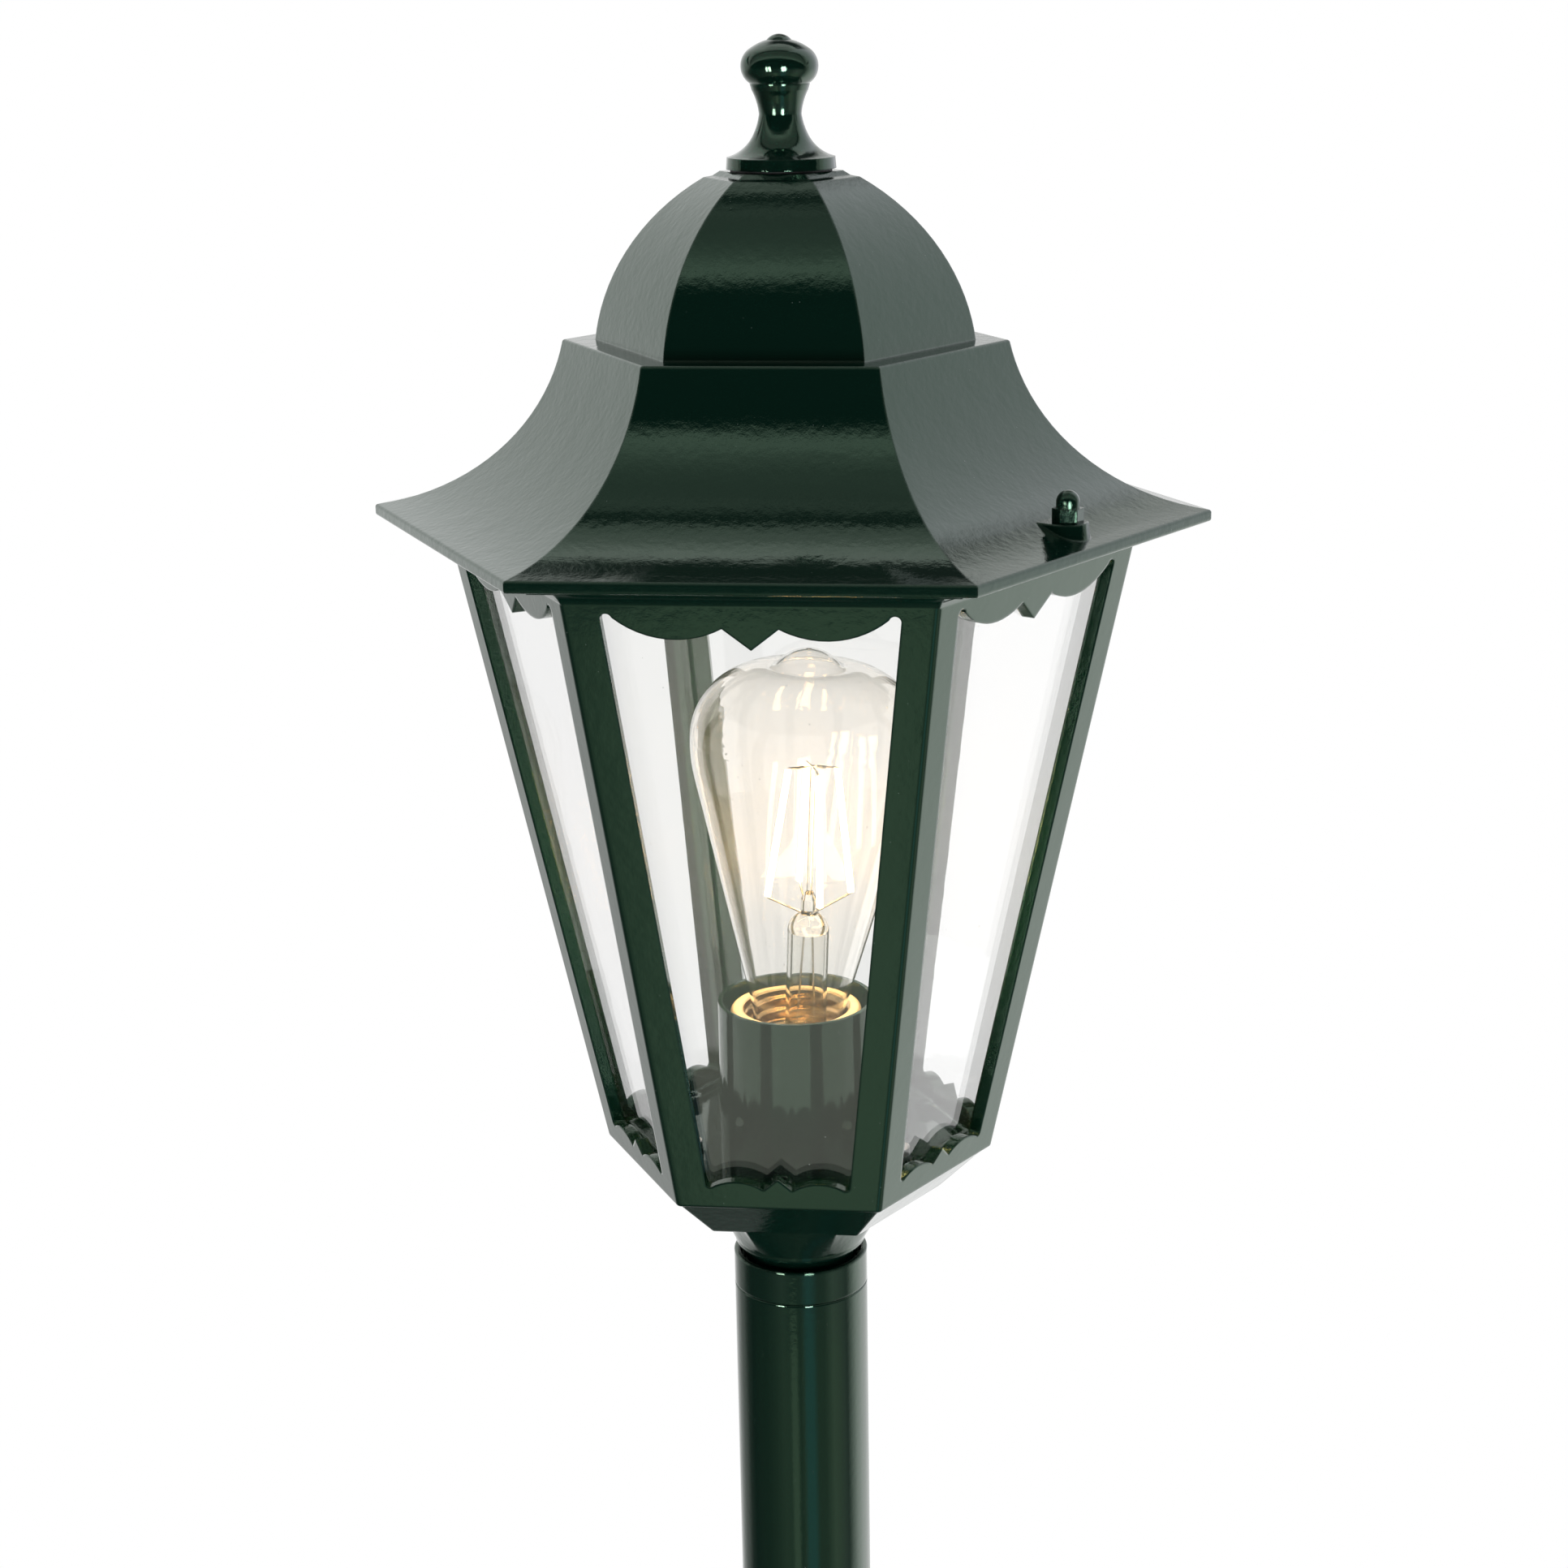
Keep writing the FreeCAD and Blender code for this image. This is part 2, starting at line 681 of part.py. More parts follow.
# nipple, washer and locknut that clamp lampholder, base and coupler together
turned_part("nipple", [
    ("nipple_bore_radius", "coupler_under - nipple_tail"),
    ("nipple_radius", "coupler_under - nipple_tail"),
    ("nipple_radius", "holder_bottom + nipple_grip"),
    ("nipple_bore_radius", "holder_bottom + nipple_grip"),
])
turned_part("nipple_washer", [
    ("nipple_hole", "coupler_under - washer_thickness"),
    ("washer_radius", "coupler_under - washer_thickness"),
    ("washer_radius", "coupler_under"),
    ("nipple_hole", "coupler_under"),
])
locknut = new_body("nipple_locknut")
locknut_top = "coupler_under - washer_thickness"
locknut_hexagon = new_sketch(locknut, "locknut_hexagon", "XY_Plane", f"{locknut_top} - locknut_height")
outline(locknut_hexagon, hexagon_corners("locknut_flats / 2"))
circle(locknut_hexagon, "0", "0", "nipple_radius + nipple_clearance / 4")
pad(locknut, "locknut_pad", locknut_hexagon, "locknut_height")
keep(locknut, "nipple_locknut")

# lantern base: hexagonal bowl, open on top, with a neck that turns from hexagon to round
base = new_body("lantern_base")
bowl_slope = "(bowl_top_apothem - bowl_bottom_apothem) / (cage_bottom - bowl_bottom)"
hexagon_sweep(base, "bowl", [
    ("nipple_hole", "bowl_bottom"),
    ("bowl_bottom_apothem", "bowl_bottom"),
    ("bowl_top_apothem", "cage_bottom"),
    ("bowl_top_apothem - bowl_wall", "cage_bottom"),
    (f"bowl_bottom_apothem - bowl_wall + ({bowl_slope}) * bowl_wall", "bowl_floor"),
    ("nipple_hole", "bowl_floor"),
], "bowl_bottom_apothem")
fillet(base, "bowl_rounds", lambda edge: level_at(edge, "bowl_bottom")
       and reach_of(ends_of(edge)[0]) > value("bowl_bottom_apothem"), "bowl_round")
neck_top = new_sketch(base, "neck_top", "XY_Plane", "bowl_bottom")
outline(neck_top, hexagon_corners("neck_top_corner * cos30"))
neck_end = circle(new_sketch(base, "neck_end", "XY_Plane", "neck_round"), "0", "0", "neck_flare_radius")
doc.recompute()
neck = base.newObject("PartDesign::AdditiveLoft", "neck")
neck.Profile = neck_top
neck.Sections = [neck_end]
neck.Ruled = True
doc.recompute()
revolve(base, "neck_plug", [
    ("0", "coupler_seat"),
    ("neck_radius", "coupler_seat"),
    ("neck_radius", "neck_round - neck_flare_drop", "neck_flare_bend", LEFT),
    ("neck_flare_radius", "neck_round"),
    ("0", "neck_round"),
])
neck_core = circle(new_sketch(base, "neck_core", "XY_Plane", "coupler_seat"), "0", "0", "neck_bore")
pocket(base, "neck_hollow", neck_core, "bowl_bottom - coupler_seat", reverse=True)
nipple_way = new_sketch(base, "nipple_way", "XY_Plane", "coupler_seat")
circle(nipple_way, "0", "0", "nipple_hole / cos30")
pocket(base, "nipple_cut", nipple_way, "bowl_floor - coupler_seat", reverse=True)
base_post = new_sketch(base, "base_post", "XY_Plane", "bowl_floor", "base_screw_turn")
circle(base_post, "base_screw_circle", "0", "base_boss_radius")
base_pillar = pad(base, "base_pillar", base_post, "cage_bottom - bowl_floor")
pillar_bore = new_sketch(base, "pillar_bore", "XY_Plane", "cage_bottom", "base_screw_turn")
circle(pillar_bore, "base_screw_circle", "0", "base_screw_radius + base_screw_clearance")
pillar_depth = "base_screw_length - cage_floor - floor_boss_height + base_screw_spare"
pillar_hole = pocket(base, "pillar_hole", pillar_bore, pillar_depth)
round_pattern(base, "base_pillars", [base_pillar, pillar_hole], 3)
keep(base, "lantern_base")

# lantern cage: one casting with floor, corner posts, scalloped rails and top rim
cage = new_body("lantern_cage")
hexagon_sweep(cage, "cage_wall", [
    ("cage_floor_hole * cos30 - cage_wall", "cage_bottom"),
    ("cage_bottom_apothem", "cage_bottom"),
    ("cage_inner_high + cage_wall", "rim_top"),
    ("cage_inner_high", "rim_top"),
    ("cage_inner_low", "cage_floor_top"),
    ("lip_outer", "cage_floor_top"),
    ("lip_outer", "cage_floor_top + lip_height"),
    ("lip_outer - lip_wall", "cage_floor_top + lip_height"),
    ("lip_outer - lip_wall", "cage_floor_top"),
    ("cage_floor_hole * cos30 - cage_wall", "cage_floor_top"),
], "cage_bottom_apothem")
fillet(cage, "cage_corners", lambda edge: edge.BoundBox.ZLength > value("cage_height")
       and max(reach_of(point) for point in ends_of(edge)) > value("cage_inner_high") / value("cos30") + 1,
       "cage_corner_round")
fillet(cage, "cage_foot", lambda edge: level_at(edge, "cage_bottom")
       and reach_of(ends_of(edge)[0]) > value("cage_bottom_apothem"), "cage_foot_round")
hexagon_sweep(cage, "cage_rim", [
    ("cage_top_apothem - cage_wall / 4", "cage_top"),
    ("cage_top_apothem", "cage_top", "cove_radius", RIGHT),
    ("cage_top_apothem + cove_width", "rim_under"),
    ("rim_apothem", "rim_under"),
    ("rim_apothem", "rim_top"),
    ("cage_top_apothem - cage_wall / 4", "rim_top"),
], "cage_top_apothem")
floor_hole = new_sketch(cage, "floor_hole", "XY_Plane", "cage_floor_top")
circle(floor_hole, "0", "0", "cage_floor_hole")
pocket(cage, "floor_cut", floor_hole, "cage_floor")
boss_sketch = new_sketch(cage, "floor_boss_circle", "XY_Plane", "cage_floor_top", "base_screw_turn")
circle(boss_sketch, "base_screw_circle", "0", "base_boss_radius")
floor_boss = pad(cage, "floor_boss", boss_sketch, "floor_boss_height")
floor_boss_top = "cage_floor_top + floor_boss_height"
boss_bore = new_sketch(cage, "floor_boss_bore", "XY_Plane", floor_boss_top, "base_screw_turn")
circle(boss_bore, "base_screw_circle", "0", "base_screw_radius + base_screw_clearance")
boss_hole = pocket(cage, "floor_boss_hole", boss_bore, "cage_floor + floor_boss_height")
round_pattern(cage, "floor_bosses", [floor_boss, boss_hole], 3)
lip_boss_sketch = new_sketch(cage, "lip_boss_circle", "XY_Plane", "cage_floor_top", "lip_boss_turn")
circle(lip_boss_sketch, "lip_outer - lip_boss_radius", "0", "lip_boss_radius")
lip_boss = pad(cage, "lip_boss", lip_boss_sketch, "lip_boss_height")
lip_boss_top = "cage_floor_top + lip_boss_height"
lip_dimple_sketch = new_sketch(cage, "lip_dimple_circle", "XY_Plane", lip_boss_top, "lip_boss_turn")
circle(lip_dimple_sketch, "lip_outer - lip_boss_radius", "0", "lip_dimple_radius")
lip_dimple = pocket(cage, "lip_dimple", lip_dimple_sketch, "lip_dimple_depth")
round_pattern(cage, "lip_bosses", [lip_boss, lip_dimple], 3)


WINDOW_HALF = [
    ("0", "cage_height - valance_point_drop", None, None),
    ("valance_cusp_half", "cage_height - valance_cusp_drop", "valance_lobe_radius", LEFT),
    ("valance_start_half", "cage_height - valance_start_drop", "window_corner_radius", RIGHT),
    ("window_top_half", "cage_height - window_top_drop", None, None),
    ("window_bottom_half", "window_bottom_up", "window_corner_radius", RIGHT),
    ("sill_start_half", "sill_start_up", "sill_lobe_radius", LEFT),
    ("sill_cusp_half", "sill_cusp_up", None, None),
    ("0", "sill_point_up", None, None),
]


def window_outline():
    """Closed outline of one window: scalloped valance on top, scalloped sill below."""
    corners = []
    for across, up, radius, side in WINDOW_HALF[:-1]:
        corner = (across, f"cage_bottom + {up}")
        corners.append(corner if radius is None else corner + (radius, side))
    for index in range(len(WINDOW_HALF) - 1, 0, -1):
        across, up = WINDOW_HALF[index][:2]
        radius, side = WINDOW_HALF[index - 1][2:]
        corner = (f"-{across}", f"cage_bottom + {up}")
        corners.append(corner if radius is None else corner + (radius, side))
    return corners


window = outline(new_sketch(cage, "window_outline", "XZ_Plane"), window_outline())
window_cut = pocket(cage, "window", window, "rim_apothem", reverse=True)
round_pattern(cage, "windows", [window_cut], HEXAGON)
stud_seat = new_sketch(cage, "stud_seat", "XY_Plane", "rim_top", "stud_turn")
circle(stud_seat, "stud_circle", "0", "stud_radius")
stud_cut = pocket(cage, "stud_cut", stud_seat, "rim_height")
round_pattern(cage, "stud_cuts", [stud_cut], 2)
keep(cage, "lantern_cage")


def base_screw(name):
    """Pan head screw that points down from the floor's boss."""
    shank = doc.addObject("Part::Cylinder", f"{name}_shank")
    bind(shank, "Radius", "base_screw_radius")
    bind(shank, "Height", "base_screw_length")
    bind(shank, "Placement.Base.z", "-base_screw_length")
    head = doc.addObject("Part::Cylinder", f"{name}_head")
    bind(head, "Radius", "base_screw_head_radius")
    bind(head, "Height", "base_screw_head_height")
    screw = doc.addObject("Part::Fuse", name)
    screw.Base = shank
    screw.Tool = head
    return screw


copies("base_screws", base_screw, [
    placed(angle, "base_screw_circle", "cage_floor_top + floor_boss_height")
    for angle in spread("base_screw_count", "base_screw_turn")
])

# panes stand in the channel behind the lip and lean on the cage walls
PANE_NAMES = ("front", "right_front", "right_rear", "rear", "left_rear", "left_front")
pane_tilt = FreeCAD.Rotation(FreeCAD.Vector(1, 0, 0), math.degrees(math.atan(value("cage_slope"))))
pane_stand = FreeCAD.Placement(FreeCAD.Vector(0, -value("pane_low"), value("cage_floor_top")), pane_tilt)
for number, side_name in enumerate(PANE_NAMES):
    pane = new_body(f"pane_{side_name}")
    pane_shape = outline(new_sketch(pane, f"pane_{side_name}_outline", "XZ_Plane"), [
        ("-pane_low_half", "0"),
        ("pane_low_half", "0"),
        ("pane_high_half", "pane_height"),
        ("-pane_high_half", "pane_height"),
    ])
    pane_pad = pad(pane, f"pane_{side_name}_pad", pane_shape, "pane_thickness")
    pane_pad.Reversed = True
    pane.Placement = placed(60 * number).multiply(pane_stand)
    keep(pane, f"pane_{side_name}")

# lampholder, its threaded shell and centre contact, and the cup round it
holder = new_body("lampholder_body")
revolve(holder, "holder_turned", [
    ("nipple_radius + nipple_clearance / 4", "holder_bottom"),
    ("holder_radius", "holder_bottom"),
    ("holder_radius", "holder_top"),
    ("holder_bore", "holder_top"),
    ("holder_bore", "holder_seat"),
    ("nipple_bore_radius", "holder_seat"),
    ("nipple_bore_radius", "holder_bottom + nipple_grip"),
    ("nipple_radius + nipple_clearance / 4", "holder_bottom + nipple_grip"),
])
fillet(holder, "holder_rounds", lambda edge: level_at(edge, "holder_top"), "holder_top_round")
keep(holder, "lampholder_body")
turned_part("lampholder_shell", [
    ("shell_radius - shell_thickness", "holder_seat"),
    ("shell_radius", "holder_seat"),
    ("shell_radius", "holder_seat + shell_height"),
    ("shell_radius - shell_thickness", "holder_seat + shell_height"),
])
turned_part("lampholder_contact", [
    ("0", "holder_seat"),
    ("contact_radius", "holder_seat"),
    ("contact_radius - contact_height / 2", "holder_seat + contact_height"),
    ("0", "holder_seat + contact_height"),
])
turned_part("lampholder_cup", [
    ("cage_floor_hole", "cage_floor_top"),
    ("cup_radius", "cage_floor_top"),
    ("cup_radius", "cage_floor_top + cup_height"),
    ("cup_radius - cup_wall", "cage_floor_top + cup_height"),
    ("cup_radius - cup_wall", "cage_floor_top + cup_flange"),
    ("cage_floor_hole", "cage_floor_top + cup_flange"),
])

# bulb: every piece is drawn upright in the bulb's own frame, then leans in the holder
bulb_turn = FreeCAD.Rotation(FreeCAD.Vector(0, 1, 0), value("bulb_lean"))
bulb_pivot = FreeCAD.Vector(0, 0, value("bulb_pivot"))
bulb_place = FreeCAD.Placement(
    FreeCAD.Vector(0, 0, value("bulb_tip")) + bulb_pivot - bulb_turn.multVec(bulb_pivot), bulb_turn)


stem_shift = FreeCAD.Placement(FreeCAD.Vector(value("stem_offset"), 0, 0), FreeCAD.Rotation())
stem_place = bulb_place.multiply(stem_shift)


def bulb_part(label, corners, place=bulb_place):
    body = turned_part(label, corners)
    body.Placement = place
    return body


bulb_glass = bulb_part("bulb_glass", [
    ("bulb_neck_radius", "bulb_glass_bottom"),
    ("bulb_neck_radius", "bulb_cap_top"),
    ("bulb_flare_radius", "bulb_flare_height"),
    ("bulb_flank_radius", "bulb_flank_height", "bulb_side_bend", LEFT),
    ("bulb_radius", "bulb_widest_height", "bulb_crown_bend", LEFT),
    ("bulb_shoulder_radius", "bulb_shoulder_height", "bulb_nub_bend", LEFT),
    ("0", "bulb_length"),
    ("0", "bulb_length - bulb_glass_wall", "bulb_nub_bend_inside", RIGHT),
    ("bulb_nub_inside", "bulb_shoulder_inside", "bulb_crown_bend - bulb_glass_wall", RIGHT),
    ("bulb_radius - bulb_glass_wall", "bulb_widest_height", "bulb_side_bend - bulb_glass_wall", RIGHT),
    ("bulb_flank_radius - bulb_glass_wall", "bulb_flank_height"),
    ("bulb_flare_radius - bulb_glass_wall", "bulb_flare_height"),
    ("bulb_neck_radius - bulb_glass_wall", "bulb_cap_top"),
    ("bulb_neck_radius - bulb_glass_wall", "bulb_glass_bottom"),
])
fillet(bulb_glass, "shoulder_round", lambda edge: level_at(edge, "bulb_shoulder_height"),
       "bulb_shoulder_round")
fillet(bulb_glass, "shoulder_round_inside", lambda edge: level_at(edge, "bulb_shoulder_inside"),
       "bulb_shoulder_round + bulb_glass_wall")
bulb_part("bulb_cap", [
    ("bulb_insulator_radius", "bulb_cap_bottom"),
    ("bulb_cap_radius", "bulb_cap_bottom + bulb_tip_height"),
    ("bulb_cap_radius", "bulb_cap_top"),
    ("bulb_cap_radius - bulb_cap_wall", "bulb_cap_top"),
    ("bulb_cap_radius - bulb_cap_wall", "bulb_cap_bottom + bulb_tip_height"),
    ("bulb_insulator_radius - bulb_cap_wall", "bulb_cap_bottom + bulb_cap_wall"),
    ("0", "bulb_cap_bottom + bulb_cap_wall"),
    ("0", "bulb_cap_bottom"),
])
bulb_part("bulb_insulator", [
    ("0", "bulb_tip_height"),
    ("bulb_tip_radius", "bulb_tip_height"),
    ("bulb_insulator_radius", "bulb_cap_bottom"),
    ("0", "bulb_cap_bottom"),
])
bulb_part("bulb_tip_contact", [
    ("0", "0"),
    ("bulb_tip_radius / 2", "0"),
    ("bulb_tip_radius", "bulb_tip_height"),
    ("0", "bulb_tip_height"),
])
bulb_part("bulb_stem", [
    ("stem_radius - stem_wall", "stem_foot_height"),
    ("stem_foot_radius", "stem_foot_height"),
    ("stem_foot_radius", "stem_foot_height + stem_foot_thickness"),
    ("stem_radius", "stem_foot_height + 2 * stem_foot_thickness"),
    ("stem_radius", "stem_shoulder_height", "stem_radius", LEFT),
    ("stem_pinch_radius", "stem_pinch_height"),
    ("stem_pinch_radius", "stem_pinch_top"),
    ("stem_rod_radius", "stem_pinch_top + stem_pinch_radius"),
    ("stem_rod_radius", "stem_rod_top"),
    ("0", "stem_rod_top"),
    ("0", "stem_shoulder_height + stem_wall"),
    ("stem_radius - stem_wall", "stem_shoulder_height"),
], stem_place)


def rod(start, end, radius):
    """Round rod between two points."""
    way = end - start
    return Part.makeCylinder(radius, way.Length, start, way)


def spoke(angle, circle_size, height):
    """Point of the bulb's frame on a circle about its axis."""
    turn = math.radians(angle)
    radius = value(circle_size)
    return FreeCAD.Vector(radius * math.cos(turn), radius * math.sin(turn), value(height))


def bulb_rods(label, solids):
    """Group of rods inside the bulb, each set between two worked out points."""
    group = doc.addObject("Part::Feature", label)
    group.Shape = Part.makeCompound(solids)
    group.Placement = stem_place
    return keep(group, label)


filaments = []
wires = []
filament_count = round(value("filament_count"))
for number in range(filament_count):
    angle = value("filament_turn") + 360 / filament_count * number
    low = spoke(angle, "filament_low_circle", "filament_low_height")
    high = spoke(angle, "filament_high_circle", "filament_high_height")
    filaments.append(rod(low, high, value("filament_radius")))
    along = (high - low).normalize() * value("wire_gap")
    root = spoke(angle, "stem_pinch_radius + wire_gap", "stem_pinch_height + wire_radius")
    wires.append(rod(root, low - along - FreeCAD.Vector(0, 0, value("wire_radius")), value("wire_radius")))
    star = spoke(angle, "stem_rod_radius + wire_gap", "stem_rod_top - wire_radius")
    wires.append(rod(star, high + along + FreeCAD.Vector(0, 0, value("wire_radius")), value("wire_radius")))
for angle in (0, 180):
    low = spoke(angle, "stem_radius / 2", "stem_foot_height")
    high = spoke(angle, "stem_pinch_radius / 2", "stem_shoulder_height + stem_wall / 4")
    wires.append(rod(low, high, value("wire_radius")))
bulb_rods("bulb_filaments", filaments)
bulb_rods("bulb_wires", wires)

# roof: flared skirt, ledge, dome and crown in one casting
roof = new_body("roof")
hexagon_sweep(roof, "roof_shell", [
    ("roof_cavity_apothem", "eave_bottom"),
    ("eave_apothem", "eave_bottom"),
    ("eave_apothem", "eave_top", "flare_radius", RIGHT),
    ("ledge_apothem", "ledge"),
    ("dome_apothem", "ledge", "dome_radius", LEFT),
    ("crown_apothem", "crown"),
    ("pad_foot_apothem", "pad_foot"),
    ("pad_top_apothem", "pad_top"),
    ("crown_hole", "pad_top"),
    ("crown_hole", "crown_under"),
    ("cavity_crown", "crown_under", "dome_inside", RIGHT),
    ("cavity_dome", "ledge_under"),
    ("cavity_ledge", "ledge_under", "flare_inside", LEFT),
    ("roof_cavity_apothem", "cavity_shoulder"),
], "ledge_apothem")
crown_way = circle(new_sketch(roof, "crown_way", "XY_Plane", "pad_top"), "0", "0", "crown_hole / cos30")
pocket(roof, "crown_cut", crown_way, "crown_plate")
fillet(roof, "roof_rounds", lambda edge: level_at(edge, "eave_bottom") and near(
    reach_of(edge.CenterOfMass), "eave_apothem") or level_at(edge, "eave_top") or (
    level_at(edge, "ledge") and near(reach_of(edge.CenterOfMass), "ledge_apothem")), "roof_edge_round")
boss = new_sketch(roof, "boss_outline", "XY_Plane", "eave_bottom", "stud_turn")
outline(boss, [
    ("stud_circle - boss_tail", "-boss_radius"),
    ("stud_circle", "-boss_radius", "boss_radius", LEFT),
    ("stud_circle + boss_radius", "0", "boss_radius", LEFT),
    ("stud_circle", "boss_radius"),
    ("stud_circle - boss_tail", "boss_radius"),
])
boss_pad = pad(roof, "boss", boss, "boss_rise")
bind(boss_pad, "TaperAngle", "-boss_draft")
doc.recompute()
boss_bore_sketch = new_sketch(roof, "boss_bore", "XY_Plane", "boss_top", "stud_turn")
circle(boss_bore_sketch, "stud_circle", "0", "stud_radius + stud_hole_clearance")
boss_cut = pocket(roof, "boss_cut", boss_bore_sketch, "boss_rise")
round_pattern(roof, "bosses", [boss_pad, boss_cut], 2)
keep(roof, "roof")


def roof_stud(name):
    stud = doc.addObject("Part::Cylinder", name)
    bind(stud, "Radius", "stud_radius")
    bind(stud, "Height", "rim_height + boss_rise + stud_reach")
    return stud


stud_angles = [value("stud_turn"), value("stud_turn") + 180]
copies("roof_studs", roof_stud, [placed(angle, "stud_circle", "rim_under") for angle in stud_angles])

# domed cap nuts on the studs
for nut_name, angle in zip(("cap_nut_right", "cap_nut_left"), stud_angles):
    nut = new_body(nut_name)
    nut_hexagon = new_sketch(nut, f"{nut_name}_hexagon", "XY_Plane")
    outline(nut_hexagon, hexagon_corners("nut_flats / 2"))
    pad(nut, f"{nut_name}_hex", nut_hexagon, "nut_hex_height")
    revolve(nut, f"{nut_name}_dome", [
        ("0", "nut_hex_height / 2"),
        ("nut_dome_radius", "nut_hex_height / 2"),
        ("nut_dome_radius", "nut_height - nut_dome_radius", "nut_dome_radius", LEFT),
        ("0", "nut_height"),
    ])
    nut_bore = new_sketch(nut, f"{nut_name}_bore", "XY_Plane")
    circle(nut_bore, "0", "0", "stud_radius + nut_running_fit")
    pocket(nut, f"{nut_name}_cut", nut_bore, "nut_bore_depth", reverse=True)
    nut.Placement = placed(angle, "stud_circle", "boss_top").multiply(placed(value("nut_turn") - angle))
    keep(nut, nut_name)

# finial with its seal, and the nut inside the dome that holds it
finial_profile = [
    ("0", "-(finial_stud_length + seal_thickness)"),
    ("finial_stud_radius", "-(finial_stud_length + seal_thickness)"),
    ("finial_stud_radius", "0"),
    ("finial_flange_radius", "0"),
    ("finial_flange_radius - finial_flange_draft", "finial_flange_height", "finial_skirt_bend", RIGHT),
    ("finial_skirt_radius", "finial_skirt_height", "finial_neck_bend", RIGHT),
    ("finial_neck_radius", "finial_neck_height", "finial_neck_bend", RIGHT),
    ("finial_throat_radius", "finial_throat_height"),
    ("finial_bead_radius", "finial_bead_height"),
    ("finial_bead_radius", "finial_ball_height - ball_foot", "finial_ball_bend", LEFT),
    ("finial_ball_radius", "finial_ball_height", "finial_ball_bend", LEFT),
    ("finial_shoulder_radius", "finial_ball_height + ball_shoulder", "finial_crown_bend", LEFT),
    ("finial_tip_radius", "finial_tip_height", "finial_tip_bend", LEFT),
    ("0", "finial_height"),
]
finial = turned_part("finial", finial_profile)
finial.Placement = placed(0, "0", "finial_bottom")
turned_part("finial_seal", [
    ("crown_hole", "pad_top"),
    ("seal_radius", "pad_top"),
    ("seal_radius", "finial_bottom"),
    ("crown_hole", "finial_bottom"),
])
finial_nut = new_body("finial_nut")
finial_nut_face = new_sketch(finial_nut, "finial_nut_hexagon", "XY_Plane", "crown_under - finial_nut_height")
outline(finial_nut_face, hexagon_corners("finial_nut_flats / 2"))
circle(finial_nut_face, "0", "0", "finial_stud_radius + finial_stud_clearance / 6")
pad(finial_nut, "finial_nut_pad", finial_nut_face, "finial_nut_height")
keep(finial_nut, "finial_nut")

# check every object, then write each sub-part
doc.recompute()
faults = []
for thing in doc.Objects:
    if "Invalid" in thing.State or "Error" in thing.State:
        faults.append(f"{thing.Label}: {thing.State}")
for node in nodes:
    if node.Shape.isNull() or not node.Shape.isValid():
        faults.append(f"{node.Label}: bad shape")
if faults:
    raise RuntimeError("; ".join(faults))

os.makedirs("parts", exist_ok=True)
for node in nodes:
    node.Shape.exportStep(f"parts/{node.Label}.step")
    low, high = node.Shape.BoundBox.ZMin, node.Shape.BoundBox.ZMax
    solids = len(node.Shape.Solids)
    print(f"{node.Label}: {solids} solid, {node.Shape.Volume:.0f} mm3, z {low:.2f} to {high:.2f}")
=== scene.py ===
"""The looks of the outdoor lamp post: materials, lit bulb, white studio and camera."""
import math

import bpy
from mathutils import Matrix, Vector


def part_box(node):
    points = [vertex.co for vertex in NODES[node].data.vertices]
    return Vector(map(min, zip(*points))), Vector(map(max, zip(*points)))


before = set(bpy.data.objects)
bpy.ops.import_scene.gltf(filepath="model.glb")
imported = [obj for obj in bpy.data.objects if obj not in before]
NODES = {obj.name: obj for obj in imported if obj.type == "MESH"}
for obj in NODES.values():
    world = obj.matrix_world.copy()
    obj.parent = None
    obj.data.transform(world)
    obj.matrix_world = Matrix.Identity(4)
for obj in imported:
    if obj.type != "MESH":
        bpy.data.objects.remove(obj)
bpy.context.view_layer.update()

# Colours of the pieces and the studio
COAT = (0.0014, 0.0098, 0.0064, 1.0)
COAT_PALE = (0.0019, 0.0118, 0.0075, 1.0)
COAT_SHEEN = (0.64, 1.0, 0.71, 1.0)
DUST = (0.20, 0.24, 0.22, 1.0)
GLASS_DUST = (0.8, 0.8, 0.78, 1.0)
GLASS_SHADOW = (0.95, 0.97, 0.96, 1.0)
PANE_TINT = (0.974, 0.9745, 0.974, 1.0)
BULB_TINT = (1.0, 0.995, 0.985, 1.0)
STEM_TINT = (0.99, 0.99, 0.98, 1.0)
STEEL = (0.55, 0.55, 0.54, 1.0)
BRASS = (0.72, 0.52, 0.22, 1.0)
NICKEL = (0.72, 0.69, 0.62, 1.0)
# Lampholder body: a white body tinted cream, which is painted warm light from the bulb
HOLDER_WARM_LIT = (0.86, 0.76, 0.60, 1.0)
HOLDER_BRASS = (0.85, 0.62, 0.32, 1.0)
HOLDER_STAIN = (0.76, 0.58, 0.34, 1.0)
INSULATOR = (0.02, 0.02, 0.02, 1.0)
RUBBER = (0.03, 0.03, 0.03, 1.0)
WARM = (1.0, 0.62, 0.27, 1.0)
WHITE = (1.0, 1.0, 1.0, 1.0)
PAPER = (1.22, 1.24, 1.24, 1.0)
PAPER_COOL = (1.46, 1.43, 1.56, 1.0)
FLOOR_FRONT = (0.76, 0.82, 0.69)
FLOOR_PAPER = ((0.84, 0.84, 0.84, 1.0), (0.87, 0.87, 0.87, 1.0))

# Sizes in metres
CAP_PITCH = 0.00363
NIPPLE_PITCH = 0.001
CHIP_PITCH = 0.0014
HOLDER_BORE = 0.0149
TUBE_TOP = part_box("post_tube")[1].z
TUBE_RIM = 0.0009
COAT_RELIEF = 0.0001
FLOOR_RADIUS = 1.8
FLOOR_DROP = 0.0005

# Edges stay sharp above these angles. The wider one is the blown bulb's.
SHARP_ANGLE = math.radians(28.0)
BLOWN_ANGLE = math.radians(75.0)

